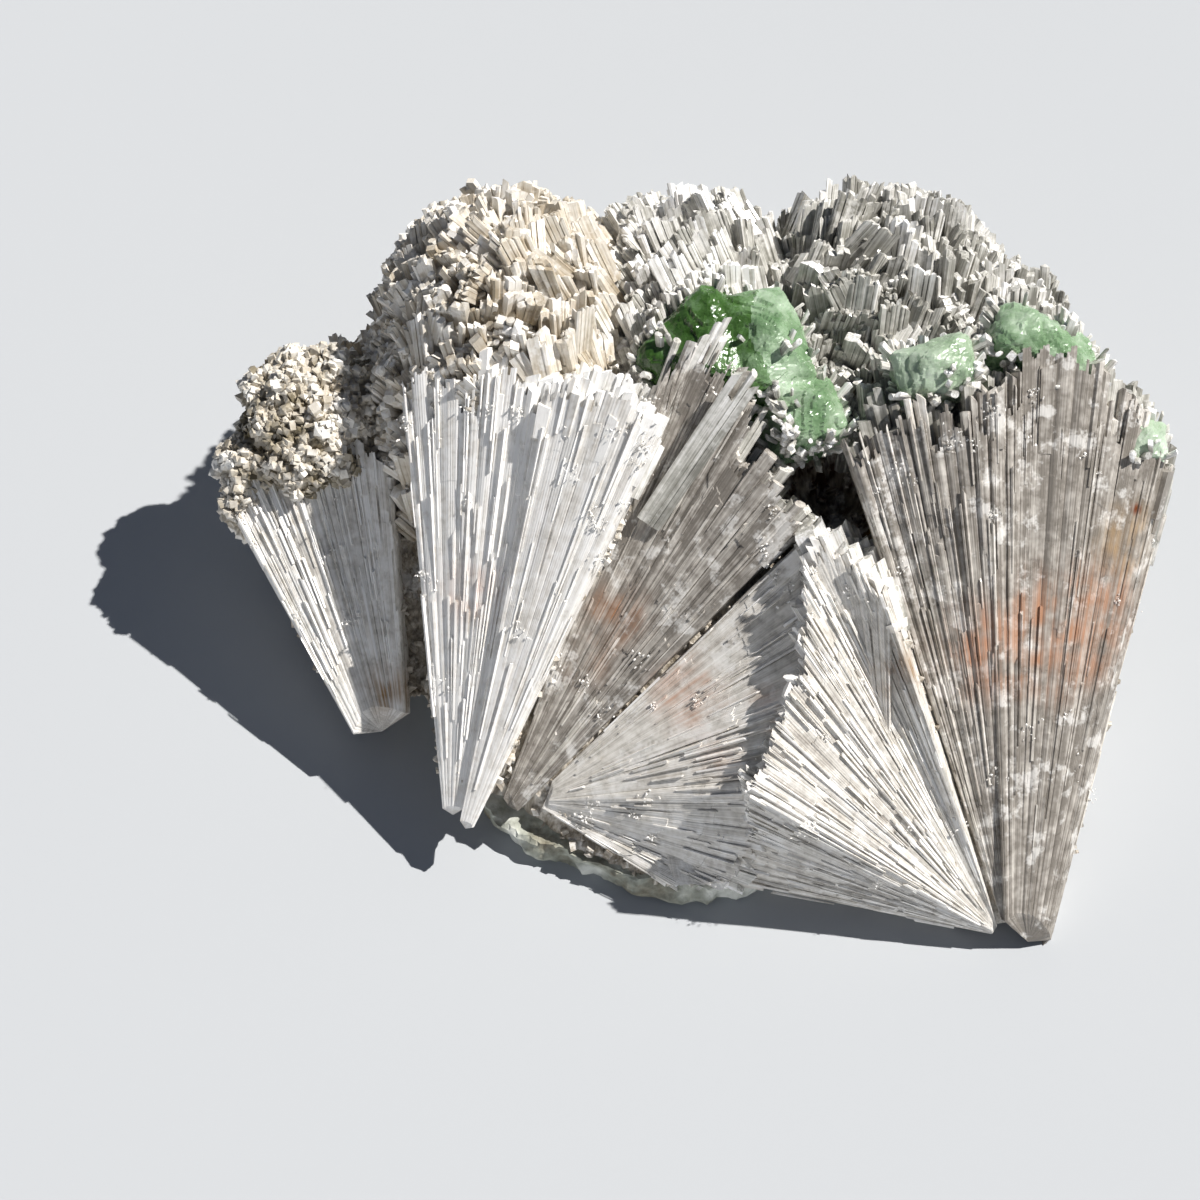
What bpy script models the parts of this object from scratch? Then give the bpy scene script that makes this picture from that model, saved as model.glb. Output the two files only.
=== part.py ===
# Scolecite cluster with green apophyllite, on a thin skin of basalt.
# Sprays of tapered crystals radiate from points near the base. The front shows them broken open as
# fans, and the top, back and sides show their tips as a crust. Points and sizes are in millimetres
# and are scaled to metres where they are used. +X is right, +Y is back and +Z is up.
# The origin is the middle of the flat face that the basalt rests on.
import math
import random

import bmesh
import bpy
from mathutils import Matrix, Vector, noise

MM = 0.001
GAP = 0.3  # clearance between two pieces that touch
REST_CLEARANCE = 0.5  # the scolecite stays this far above the surface
WEDGE_LAP = 0.07  # share of its width by which each wedge of a fan's core runs into the next
SQUARENESS = 2.7  # of the crusts seen from above: 2 is round and more is squarer
BLUNTING = 0.16  # of an apophyllite's edges, as a share of its half-width
CORE_REACH = 0.93  # share of a crust's reach that its core fills
SLAB_GROWTH = 3  # the basalt's slanting edge grows by this many times the gap, to clear it squarely
TIP_FOOT = 0.62  # share of the radius where a crust's tips and a fan's rear blades begin
LOWEST_TIP = 6  # no tip of a crust ends lower than this

# What every fan shares. bulge: how far its back swells. wedge_reach: share of the radius that its core
# fills. rows: how far down the back each row of blades lies, as shares, the face first. broken: share
# of the blades of the face that end early, and broken_reach: where.
FAN = dict(bulge=2.5, wedge_reach=0.94, wedge_depths=(0.1, 0.5, 1.0), rows=(0.08, 0.5, 0.92),
           face_thickness=5.0, rear_thickness=7.5, broken=0.25, broken_reach=(0.72, 0.88))

# Broken fans at the front. crest: the tips along the fan's outer edge. back: from the crest to the
# lowest tips behind it. start: share of the radius where the broken lower end lies. blades: wide
# crystals across the fan. proud: how far the middle of each blade stands above the fan's plane.
FANS = {
    "left": dict(
        focus=(-46, -43, 2), start=0.34, blades=6, proud=0.6, seed=11,
        crest=[(-75, 6, 21), (-71, 14, 28), (-65, 15, 31), (-57, 13, 33), (-50, 10, 34)],
        back=(2, 10, -17),
    ),
    "second_left": dict(
        focus=(-40, -50, 3), start=0.15, blades=5, proud=1.0, seed=12,
        crest=[(-47, 11, 50), (-41, 12, 54), (-33, 10, 57), (-24, 7, 58)],
        back=(1, 12, -20),
    ),
    "second_right": dict(
        focus=(-40, -50, 4), start=0.12, blades=4, proud=1.6, seed=13,
        crest=[(-25, 3, 60), (-17, 3, 61), (-10, 1, 60), (-8, -3, 56)],
        back=(2, 12, -18),
    ),
    "dark_diagonal": dict(
        focus=(-34, -44, 5), start=0.1, blades=6, proud=1.4, seed=14,
        crest=[(-8, 6, 57), (0, 14, 61), (6, 9, 59), (6, 1, 52), (10, -5, 49), (15, -11, 46)],
        back=(0, 10, -20),
    ),
    "middle": dict(
        focus=(-27, -39, 9), start=0.08, blades=9, proud=0.8, seed=15,
        crest=[(15, -12, 44), (18, -21, 39), (16, -30, 34), (13, -38, 29), (9, -45, 23),
               (8, -50, 16), (4, -53, 8), (-6, -52, 6)],
        back=(4, 8, -12),
    ),
    "lower_right": dict(
        focus=(47, -60, 3.5), start=0.06, blades=9, proud=1.0, seed=16,
        crest=[(4, -51, 4), (7, -50, 15), (7, -47, 26), (10, -40, 31), (15, -31, 37), (16, -23, 42),
               (15, -16, 47), (20, -16, 48), (25, -20, 46), (28, -24, 44)],
        back=(4, 12, -14),
    ),
    "right_inner": dict(
        focus=(48, -60, 4), start=0.06, blades=6, proud=1.2, seed=17,
        crest=[(22, -1, 53), (26, 3, 56), (32, 2, 57), (39, 1, 57), (45, 3, 58)],
        back=(2, 14, -20),
    ),
    "right_outer": dict(
        focus=(49, -80, -11), start=0.27, blades=8, proud=1.0, seed=18,
        crest=[(43, 4, 59), (51, 10, 59), (60, 10, 57), (66, 8, 52), (72, 4, 45), (74, 2, 36)],
        back=(2, 14, -20),
    ),
    "right_side": dict(
        focus=(49, -80, -11), start=0.27, blades=4, proud=0.6, seed=19,
        crest=[(74, 2, 38), (75, 6, 29), (74, 8, 19), (71, 8, 9)],
        back=(-6, 12, -4),
    ),
}

# Closed sprays behind the fans, whose tips make the crust. reach: the radius along each axis.
# floor: the lowest direction that bears tips, as a sine. front: no tip lies further forward than this
# from the focus. width: of a tip's crystal. lean: how far all the tips are shifted.
CRUSTS = {
    "dome": dict(focus=(-31, 29, 14), reach=(24, 32, 49), tips=48, floor=-0.15, front=-26, width=9.0,
                 lean=(0, 0, 0), seed=21),
    "middle_crown": dict(focus=(1, 32, 12), reach=(21, 31, 41), tips=32, floor=-0.15, front=-22, width=8.4,
                         lean=(-3, 2, 2), seed=22),
    "right_crown": dict(focus=(29, 30, 12), reach=(25, 34, 42), tips=38, floor=-0.15, front=-22, width=8.4,
                        lean=(2, 2, 2), seed=23),
    "right_column": dict(focus=(50, 20, 10), reach=(15, 32, 42), tips=26, floor=-0.1, front=-14, width=7.8,
                         lean=(0, 1, 0), seed=24),
    "left_flank": dict(focus=(-52, 24, 8), reach=(13, 20, 26), tips=13, floor=-0.1, front=-12, width=7.0,
                       lean=(-2, 0, 0), seed=25),
}

# The compact scolecite inside the sprays, as the corners of one convex block.
HEART = [(-38, -36, 4), (-20, -42, 4), (36, -57, 3), (46, -60, 2), (55, -55, 4), (62, -20, 4), (64, 30, 6),
         (44, 54, 6), (-40, 52, 6), (-54, 26, 5), (-52, -6, 8), (-44, 8, 40), (-24, 2, 46), (-4, 0, 44),
         (18, -8, 34), (32, 4, 46), (58, 10, 44), (52, 40, 34), (14, 50, 36), (-34, 48, 38)]

# Apophyllites, each of one or more blocks that are grown together. A block has its centre, its
# half-widths, the height of its end caps and its tilt in degrees about X, Y and Z.
APOPHYLLITES = {
    "apophyllite_large": [
        dict(at=(2, 17.5, 48.5), half=(8.5, 10.5, 8.0), cap=5.0, tilt=(28, -24, 38)),
        dict(at=(8, 18, 50.5), half=(6.5, 8.0, 7.5), cap=4.0, tilt=(16, 12, 24)),
        dict(at=(15, 7.5, 48), half=(5.4, 5.2, 5.0), cap=3.5, tilt=(12, 20, 20)),
    ],
    "apophyllite_inner": [dict(at=(36, 11.5, 55), half=(6.4, 4.6, 4.4), cap=2.6, tilt=(10, -8, 12))],
    "apophyllite_outer": [
        dict(at=(52, 16, 54.5), half=(7.6, 4.8, 4.6), cap=2.8, tilt=(-6, 16, -14)),
        dict(at=(57, 14, 52.5), half=(4.6, 4.2, 4.0), cap=2.4, tilt=(14, 10, 24)),
    ],
    "apophyllite_edge": [dict(at=(69, 6, 44), half=(3.6, 3.2, 3.2), cap=1.8, tilt=(20, 20, 10))],
}

# The druse. waves: how often its lumps recur over its surface, and how high they are.
KNOB = dict(at=(-63, 19, 31), reach=(14.5, 12, 9.5), waves=((2.1, 2.4), (5.3, 0.9)), seed=31)

# The basalt skin: its outline seen from above, its height, and how ragged its edge is over what length.
MATRIX = dict(
    outline=[(-35, -37), (-26, -44), (-13, -50), (1, -53), (12, -50), (30, -51), (48, -46), (60, -20),
             (58, 22), (44, 46), (8, 54), (-30, 50), (-50, 24), (-46, -8)],
    top=4.5, splits=2, ragged=2.2, ragged_over=7, inset=1.0, seed=41,
)

COLOURS = {
    "scolecite": ((0.80, 0.78, 0.75), 0.35),
    "apophyllite": ((0.34, 0.62, 0.36), 0.25),
    "druse": ((0.62, 0.54, 0.42), 0.6),
    "basalt": ((0.23, 0.24, 0.20), 0.9),
}


def clear_scene():
    for obj in list(bpy.data.objects):
        bpy.data.objects.remove(obj, do_unlink=True)


def point(values):
    return Vector(values) * MM


def along(points, share):
    """The point at a share of the way along a line of points."""
    place = min(max(share, 0.0), 1.0) * (len(points) - 1)
    i = min(int(place), len(points) - 2)
    return points[i].lerp(points[i + 1], place - i)


def frame_on(axis, side):
    """A rotation whose Z is the axis and whose X lies towards side."""
    z = axis.normalized()
    y = z.cross(side).normalized()
    x = y.cross(z)
    return Matrix((x, y, z)).transposed().to_4x4()


def add_crystal(bm, low, high, side, width, thick, taper, sides, roll, cap, slant, draw):
    """One tapered crystal from low to high, with a slanted end and a low pyramid on it."""
    axis = high - low
    turn = math.pi / 4 if sides == 4 else 0.0
    stretch = 1 / math.cos(math.pi / sides)
    matrix = (
        Matrix.Translation((low + high) / 2)
        @ frame_on(axis, side)
        @ Matrix.Rotation(roll, 4, "Z")
        @ Matrix.Diagonal((width / 2 * stretch, thick / 2 * stretch, 1, 1))
        @ Matrix.Rotation(turn, 4, "Z")
    )
    made = bmesh.ops.create_cone(
        bm, cap_ends=True, segments=sides, radius1=taper, radius2=1, depth=axis.length, matrix=matrix,
    )
    unit = axis.normalized()
    middle = (low + high) / 2
    ends = [v for v in made["verts"] if (v.co - middle).dot(unit) > 0]
    tilt = Vector((draw.uniform(-1, 1), draw.uniform(-1, 1), draw.uniform(-1, 1))).cross(unit)
    for v in ends:
        v.co += unit * tilt.dot(v.co - high) * slant
    top = next(f for f in ends[0].link_faces if all(v in ends for v in f.verts))
    poked = bmesh.ops.poke(bm, faces=[top], center_mode="MEAN")
    poked["verts"][0].co += unit * cap


def add_hull(bm, corners):
    verts = [bm.verts.new(c) for c in corners]
    made = bmesh.ops.convex_hull(bm, input=verts)
    spare = {e for e in made["geom_interior"] + made["geom_unused"] if isinstance(e, bmesh.types.BMVert)}
    bmesh.ops.delete(bm, geom=list(spare), context="VERTS")


def mesh_object(name, bm, collection):
    bmesh.ops.recalc_face_normals(bm, faces=bm.faces[:])
    mesh = bpy.data.meshes.new(name)
    bm.to_mesh(mesh)
    bm.free()
    obj = bpy.data.objects.new(name, mesh)
    collection.objects.link(obj)
    return obj


def fan_pieces(fan, collection, name):
    """A broken fan: a core wedge, blades along its face and shorter tips behind its crest."""
    draw = random.Random(fan["seed"])
    focus = point(fan["focus"])
    crest = [point(p) for p in fan["crest"]]
    back = point(fan["back"])
    count = fan["blades"]
    length = sum((b - a).length for a, b in zip(crest, crest[1:]))
    made = []

    def end_at(share, depth):
        tip = along(crest, share)
        bulge = (tip - focus).normalized() * math.sin(math.pi * depth) * FAN["bulge"] * MM
        return tip + back * depth + bulge

    steps = max(2, count // 3)
    for k in range(steps):
        bm = bmesh.new()
        shares = [(k - WEDGE_LAP) / steps, (k + 0.5) / steps, (k + 1 + WEDGE_LAP) / steps]
        corners = []
        for share in shares:
            for depth in FAN["wedge_depths"]:
                ray = end_at(share, depth) - focus
                corners += [focus + ray * fan["start"], focus + ray * FAN["wedge_reach"]]
        add_hull(bm, corners)
        made.append(mesh_object(f"{name}_wedge", bm, collection))

    for row, depth in enumerate(FAN["rows"]):
        face = row == 0
        across = count if face else max(3, round(count / 2))
        for i in range(across):
            share = (i + 0.5 + draw.uniform(-0.15, 0.15)) / across
            end = end_at(share, depth)
            ray = end - focus
            side = (along(crest, share + 0.05) - along(crest, share - 0.05)).normalized()
            outward = -(back - back.project(ray)).normalized()
            reach = draw.uniform(0.95, 1.03)
            broken = face and draw.random() < FAN["broken"]
            if broken:
                reach = draw.uniform(*FAN["broken_reach"])
            start = fan["start"] if face else TIP_FOOT
            start += draw.uniform(0.0, 0.06)
            lift = outward * (fan["proud"] + draw.uniform(-0.5, 0.7)) * MM if face else Vector()
            width = length / across * draw.uniform(1.12, 1.34)
            thick = (FAN["face_thickness"] if face else FAN["rear_thickness"]) * MM
            bm = bmesh.new()
            add_crystal(
                bm, focus + ray * start + lift * 0.6, focus + ray * reach + lift, side, width, thick,
                max(start / reach, 0.12), 4, draw.uniform(-0.16, 0.16), draw.uniform(0.4, 1.4) * MM,
                draw.uniform(0.1, 0.45), draw,
            )
            made.append(mesh_object(f"{name}_blade", bm, collection))
    return made


def crust_directions(crust, draw):
    """Directions spread evenly over the part of a sphere that bears tips."""
    golden = math.pi * (3 - math.sqrt(5))
    low = crust["floor"]
    for i in range(crust["tips"]):
        up = 1 - (1 - low) * (i + 0.5) / crust["tips"]
        flat = math.sqrt(1 - up * up)
        angle = i * golden + draw.uniform(-0.12, 0.12)
        yield Vector((flat * math.cos(angle), flat * math.sin(angle), up))


def crust_point(crust, way):
    """A point of a crust's outer form, which is squarish seen from above."""
    far = (abs(way.x) ** SQUARENESS + abs(way.y) ** SQUARENESS) ** (1 / SQUARENESS)
    swell = math.hypot(way.x, way.y) / far if far else 1.0
    reach = crust["reach"]
    return Vector((way.x * swell * reach[0], way.y * swell * reach[1], way.z * reach[2])) * MM


def crust_pieces(crust, collection, name):
    """A closed spray: a rounded core that bears tapered crystals, their tips pointing outwards."""
    draw = random.Random(crust["seed"])
    focus = point(crust["focus"])
    lean = point(crust["lean"])
    bm = bmesh.new()
    bmesh.ops.create_icosphere(bm, subdivisions=1, radius=1)
    for v in bm.verts:
        v.co = focus + crust_point(crust, v.co.normalized()) * CORE_REACH
    made = [mesh_object(f"{name}_core", bm, collection)]
    for way in crust_directions(crust, draw):
        end = focus + crust_point(crust, way) + lean
        if end.y < focus.y + crust["front"] * MM or end.z < LOWEST_TIP * MM:
            continue
        ray = end - focus
        stretch = draw.uniform(0.95, 1.06)
        low, high = focus + ray * TIP_FOOT, focus + ray * stretch
        side = ray.orthogonal()
        width = crust["width"] * draw.uniform(0.8, 1.15) * MM
        bm = bmesh.new()
        add_crystal(
            bm, low, high, side, width, width * draw.uniform(0.62, 0.95), 0.72, draw.choice((4, 4, 4, 5)),
            draw.uniform(0, math.pi), draw.uniform(0.5, 1.8) * MM, draw.uniform(0.1, 0.5), draw,
        )
        made.append(mesh_object(f"{name}_tip", bm, collection))
    return made


def evaluated(obj, name, collection):
    """A new object with the evaluated mesh of obj, which is removed."""
    graph = bpy.context.evaluated_depsgraph_get()
    mesh = bpy.data.meshes.new_from_object(obj.evaluated_get(graph))
    made = bpy.data.objects.new(name, mesh)
    collection.objects.link(made)
    bpy.data.objects.remove(obj, do_unlink=True)
    return made


def join_all(first, others):
    """A Boolean union of first with every other object."""
    group = bpy.data.collections.new("to_join")
    bpy.context.scene.collection.children.link(group)
    for obj in others:
        group.objects.link(obj)
    union = first.modifiers.new("join", "BOOLEAN")
    union.operation = "UNION"
    union.operand_type = "COLLECTION"
    union.collection = group
    union.solver = "MANIFOLD"


def cut_with(obj, cutter, name):
    cut = obj.modifiers.new(name, "BOOLEAN")
    cut.operation = "DIFFERENCE"
    cut.object = cutter
    cut.solver = "MANIFOLD"


def keep_outer_body(obj):
    """Removes the closed pockets and loose chips that a union leaves, and keeps the largest body."""
    bm = bmesh.new()
    bm.from_mesh(obj.data)
    bmesh.ops.triangulate(bm, faces=bm.faces[:])
    left = set(bm.faces)
    bodies = []
    while left:
        body = {left.pop()}
        edge = list(body)
        while edge:
            face = edge.pop()
            for e in face.edges:
                for near in e.link_faces:
                    if near in left:
                        left.discard(near)
                        body.add(near)
                        edge.append(near)
        bodies.append(body)
    bodies.sort(key=len, reverse=True)
    spare = [f for body in bodies[1:] for f in body]
    bmesh.ops.delete(bm, geom=spare, context="FACES")
    bmesh.ops.recalc_face_normals(bm, faces=bm.faces[:])
    bm.to_mesh(obj.data)
    bm.free()


def material(name):
    colour, rough = COLOURS[name]
    made = bpy.data.materials.new(name)
    made.use_nodes = True
    shader = made.node_tree.nodes["Principled BSDF"]
    shader.inputs["Base Color"].default_value = (*colour, 1)
    shader.inputs["Roughness"].default_value = rough
    shader.inputs["Metallic"].default_value = 0
    return made


def apophyllite_block(name, spec, grow, collection):
    """A tetragonal block with a low pyramid on each end, its edges blunted."""
    bm = bmesh.new()
    bmesh.ops.create_cube(bm, size=2)
    half = [(h + grow) * MM for h in spec["half"]]
    for v in bm.verts:
        v.co = Vector(v.co[k] * half[k] for k in range(3))
    ends = [f for f in bm.faces if abs(f.normal.z) > 0.9]
    poked = bmesh.ops.poke(bm, faces=ends)
    for v in poked["verts"]:
        v.co.z += math.copysign((spec["cap"] + grow) * MM, v.co.z)
    blunt = [e for e in bm.edges if e.calc_face_angle(0) > 1.0]
    bmesh.ops.bevel(bm, geom=blunt, offset=BLUNTING * half[0], segments=1, affect="EDGES", profile=0.5)
    turn = Matrix.Rotation(math.radians(spec["tilt"][2]), 4, "Z")
    turn = turn @ Matrix.Rotation(math.radians(spec["tilt"][1]), 4, "Y")
    turn = turn @ Matrix.Rotation(math.radians(spec["tilt"][0]), 4, "X")
    bm.transform(Matrix.Translation(point(spec["at"])) @ turn)
    return mesh_object(name, bm, collection)


def apophyllite(name, blocks, grow, collection):
    """One apophyllite: its blocks joined."""
    first, *others = [apophyllite_block(name, spec, grow, collection) for spec in blocks]
    if not others:
        return first
    join_all(first, others)
    joined = evaluated(first, name, collection)
    for obj in others:
        bpy.data.objects.remove(obj, do_unlink=True)
    joined.name = name
    return joined


def knob(name, grow, collection):
    """The lumpy druse on the head of the left fan."""
    bm = bmesh.new()
    bmesh.ops.create_icosphere(bm, subdivisions=3, radius=1)
    shift = Vector((KNOB["seed"], 0, 0))
    for v in bm.verts:
        lump = sum(noise.noise(v.co * wave + shift) * height for wave, height in KNOB["waves"])
        out = v.co.normalized()
        size = Vector(out[k] * (KNOB["reach"][k] + grow) for k in range(3))
        v.co = (Vector(KNOB["at"]) + size + out * lump) * MM
    return mesh_object(name, bm, collection)


def matrix_rock(name, grow, collection):
    """The basalt skin: a low slab with a ragged outline and a flat resting face."""
    outline = MATRIX["outline"]
    corners = []
    for i, (x, y) in enumerate(outline):
        after = outline[(i + 1) % len(outline)]
        for k in range(MATRIX["splits"]):
            share = k / MATRIX["splits"]
            corners.append(Vector((x + (after[0] - x) * share, y + (after[1] - y) * share, 0)))
    bm = bmesh.new()
    rings = []
    for level, z in enumerate((-grow, MATRIX["top"] / 2, MATRIX["top"] + grow)):
        ring = []
        for corner in corners:
            out = corner.normalized()
            place = corner / MATRIX["ragged_over"]
            ragged = noise.noise(Vector((place.x, place.y, MATRIX["seed"] + level * 1.7))) * MATRIX["ragged"]
            far = corner.length + ragged + SLAB_GROWTH * grow - level * MATRIX["inset"]
            ring.append(bm.verts.new(Vector((out.x * far, out.y * far, z)) * MM))
        rings.append(ring)
    bm.faces.new(rings[0][::-1])
    bm.faces.new(rings[-1])
    for lower, upper in zip(rings, rings[1:]):
        for i in range(len(corners)):
            j = (i + 1) % len(corners)
            bm.faces.new((lower[i], lower[j], upper[j]))
            bm.faces.new((lower[i], upper[j], upper[i]))
    return mesh_object(name, bm, collection)


def finish(obj, look):
    """Gives a sub-part its one material."""
    obj.data.materials.clear()
    obj.data.materials.append(look)


def block(name, low, high, collection):
    bm = bmesh.new()
    bmesh.ops.create_cube(bm, size=1)
    bm.transform(Matrix.Translation((low + high) / 2) @ Matrix.Diagonal((*(high - low), 1)))
    return mesh_object(name, bm, collection)


def as_cutter(obj):
    obj.hide_render = True
    obj.display_type = "WIRE"
    return obj


def build():
    clear_scene()
    model = bpy.data.collections.new("scolecite_cluster")
    cutters = bpy.data.collections.new("cutters")
    for collection in (model, cutters):
        bpy.context.scene.collection.children.link(collection)

    bm = bmesh.new()
    add_hull(bm, [point(c) for c in HEART])
    heart = mesh_object("heart", bm, model)
    grown = []
    for name, fan in FANS.items():
        grown += fan_pieces(fan, cutters, name)
    for name, crust in CRUSTS.items():
        grown += crust_pieces(crust, cutters, name)
    join_all(heart, grown)
    rough = evaluated(heart, "scolecite_rough", cutters)
    for obj in grown:
        bpy.data.objects.remove(obj, do_unlink=True)
    keep_outer_body(rough)

    pockets = [apophyllite(f"{name}_pocket", blocks, GAP, cutters) for name, blocks in APOPHYLLITES.items()]
    pockets += [knob("knob_pocket", GAP, cutters), matrix_rock("matrix_pocket", GAP, cutters)]
    pockets.append(block("below", point((-200, -200, -100)), point((200, 200, REST_CLEARANCE)), cutters))
    for pocket in pockets:
        as_cutter(pocket)
        cut_with(rough, pocket, pocket.name)
    scolecite = evaluated(rough, "scolecite", model)
    keep_outer_body(scolecite)
    finish(scolecite, material("scolecite"))

    green = material("apophyllite")
    for name, blocks in APOPHYLLITES.items():
        finish(apophyllite(name, blocks, 0, model), green)
    finish(knob("drusy_knob", 0, model), material("druse"))
    finish(matrix_rock("basalt_matrix", 0, model), material("basalt"))


build()
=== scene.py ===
import math
import random

import bmesh
import bpy
from mathutils import Matrix, Vector, noise


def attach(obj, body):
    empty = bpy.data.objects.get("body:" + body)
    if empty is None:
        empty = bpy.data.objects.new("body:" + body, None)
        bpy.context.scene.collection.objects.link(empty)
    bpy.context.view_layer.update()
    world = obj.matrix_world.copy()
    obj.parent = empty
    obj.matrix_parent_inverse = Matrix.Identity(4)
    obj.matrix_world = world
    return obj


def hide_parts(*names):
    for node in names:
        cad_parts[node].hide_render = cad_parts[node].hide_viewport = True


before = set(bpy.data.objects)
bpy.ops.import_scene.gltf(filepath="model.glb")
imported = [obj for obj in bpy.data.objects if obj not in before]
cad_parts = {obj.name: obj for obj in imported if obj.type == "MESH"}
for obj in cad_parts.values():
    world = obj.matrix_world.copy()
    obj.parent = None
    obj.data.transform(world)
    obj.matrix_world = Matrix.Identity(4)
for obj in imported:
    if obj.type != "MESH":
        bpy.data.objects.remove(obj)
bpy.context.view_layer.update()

# Scolecite sprays with green apophyllite on a skin of basalt. The fine prisms grow over the same
# sprays as the solids. Places and sizes are millimetres until a mesh is made from them.
mm = 0.001

# the photo looks down at the fans with a long lens, and the sun stands right of the cluster
view = {"height angle": 58, "distance": 0.5, "aim": (-0.016, -0.013, 0.028), "lens": 94.5, "sensor": 36}
light = {"towards sun": (0.78, 0.26, 1.0), "sun": 5.8, "sun spread": 0.8,
         "sky": 0.13, "horizon": 0.36, "card": 4.5,
         "sun colour": "#FFFCF8", "sky colour": "#A9BDE2", "horizon colour": "#D9E2F0", "floor": "#BABDC0"}

# section outlines of a crystal, as shares of its half width and half thickness
squareSection = [(1, 1), (-1, 1), (-1, -1), (1, -1)]
bluntSection = [(1, 0.45), (0.5, 1), (-0.5, 1), (-1, 0.45), (-1, -0.45), (-0.5, -1), (0.5, -1), (1, -0.45)]
chipSection = [(1, 0.2), (0.35, 1), (-0.6, 0.8), (-1, -0.1), (-0.3, -1), (0.7, -0.8)]


def hexColour(code):
    parts = [int(code[i:i + 2], 16) / 255 for i in (1, 3, 5)]
    return [p / 12.92 if p <= 0.04045 else ((p + 0.055) / 1.055) ** 2.4 for p in parts] + [1.0]


def addNode(tree, kind, settings=None, values=None, links=None):
    node = tree.nodes.new(kind)
    for name, value in (settings or {}).items():
        setattr(node, name, value)
    for name, value in (values or {}).items():
        node.inputs[name].default_value = value
    for name, source in (links or {}).items():
        tree.links.new(source, node.inputs[name])
    return node


def newMaterial(name):
    material = bpy.data.materials.new(name)
    material.use_nodes = True
    tree = material.node_tree
    return material, tree, tree.nodes["Principled BSDF"]


def addRamp(tree, source, stops):
    # stops: (place, sRGB hex) from dark to light
    node = addNode(tree, "ShaderNodeValToRGB", links={"Fac": source})
    ramp = node.color_ramp
    while len(ramp.elements) < len(stops):
        ramp.elements.new(0.5)
    for element, (place, code) in zip(ramp.elements, stops):
        element.position = place
        element.color = hexColour(code)
    return node.outputs["Color"]


# where iron has stained the scolecite: place, radius in mm, colour and strength
stains = [
    ((-12.5, -15.5, 29.0), 9, "#A0714E", 0.75),
    ((-17.5, -21.5, 24.0), 7, "#AC8468", 0.5),
    ((-36.4, -14.3, 33.0), 9, "#D2B4A4", 0.35),
    ((-1.9, -28.7, 25.0), 9, "#CF9F82", 0.5),
    ((4.4, -37.0, 19.0), 8, "#C28C66", 0.5),
    ((12.0, -33.0, 27.0), 7, "#D0A285", 0.4),
    ((43.8, -25.3, 33.0), 12, "#AE8268", 0.55),
    ((53.3, -22.6, 33.0), 15, "#B08468", 0.65),
    ((63.7, -19.8, 33.0), 14, "#AC7E60", 0.6),
    ((-50.0, -20.2, 12.0), 7, "#A08058", 0.8),
    ((-38.9, -37.5, 8.0), 4, "#A8702C", 1.2),
    ((30.8, -30.7, 36.0), 9, "#9C8062", 0.6),
    ((66.5, -8.0, 38.0), 9, "#A68A66", 0.5),
]
# rust specks and brown smudges: place and radius in mm
specks = [((8.0, -35.3, 22.0), 0.9), ((7.0, -39.7, 19.0), 0.8), ((1.5, -48.9, 10.0), 1.2),
          ((45.4, -49.3, 10.0), 0.8), ((67.6, -3.5, 40.0), 1.8), ((66.0, -1.0, 41.0), 1.2)]
# the hollow between the fans is lined with real ochre, with painted shade near black at its bottom; the dark
# olive-grey in the gap between the left fan and the second fan is painted shade, and the brown by the knob is
# a stain
hollowStainsAndShade = [((20.9, -2.9, 38.0), 13, "#3E2812", 2.2), ((27.0, -8.0, 38.0), 9, "#8A6428", 1.2),
                ((-46.0, 2.0, 36.0), 9, "#3C4230", 1.0), ((-62.0, 26.0, 24.0), 10, "#8A7048", 1.0)]


def nearness(tree, place, centre, outer, inner, most):
    # 0 outside the outer radius, up to most at the inner radius
    far = addNode(tree, "ShaderNodeVectorMath", {"operation": "DISTANCE"}, links={0: place})
    far.inputs[1].default_value = [c * mm for c in centre]
    near = addNode(tree, "ShaderNodeMapRange", {"interpolation_type": "SMOOTHSTEP"},
                   {"From Min": outer * mm, "From Max": inner * mm, "To Max": most},
                   {"Value": far.outputs["Value"]})
    return near.outputs["Result"]


def blendColour(tree, colour, code, share):
    mix = addNode(tree, "ShaderNodeMix", {"data_type": "RGBA"}, links={0: share, 6: colour})
    mix.inputs[7].default_value = hexColour(code)
    return mix.outputs[2]


def product(tree, first, second, clamped=True):
    node = addNode(tree, "ShaderNodeMath", {"operation": "MULTIPLY", "use_clamp": clamped},
                   links={0: first, 1: second})
    return node.outputs["Value"]


def spread(tree, source, low, high, least, most):
    # the part of a pattern between low and high, stretched to run from least to most
    node = addNode(tree, "ShaderNodeMapRange",
                   values={"From Min": low, "From Max": high, "To Min": least, "To Max": most},
                   links={"Value": source})
    return node.outputs["Result"]


def stainedAndShadedColour(tree, colour, place, fibres, marks, dots):
    # iron stains, and the painted shade in the hollows, that spread along the fibres, each a soft blob broken
    # up by the streaks
    ragged = addNode(tree, "ShaderNodeTexNoise", values={"Scale": 1.3, "Detail": 2.0},
                     links={"Vector": fibres})
    blotch = addNode(tree, "ShaderNodeTexNoise", values={"Scale": 240.0, "Detail": 1.5},
                     links={"Vector": place})
    torn = spread(tree, ragged.outputs["Fac"], 0.35, 0.65, 0.25, 1.6)
    patchy = spread(tree, blotch.outputs["Fac"], 0.36, 0.62, 0.15, 1.3)
    broken = product(tree, torn, patchy, clamped=False)
    for centre, radius, code, strength in marks:
        near = nearness(tree, place, centre, radius, 0.0, strength)
        colour = blendColour(tree, colour, code, product(tree, near, broken))
    for centre, radius in dots:
        near = nearness(tree, place, centre, radius, radius * 0.4, 1.3)
        colour = blendColour(tree, colour, "#6E3A1C", product(tree, near, torn))
    return colour


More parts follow.
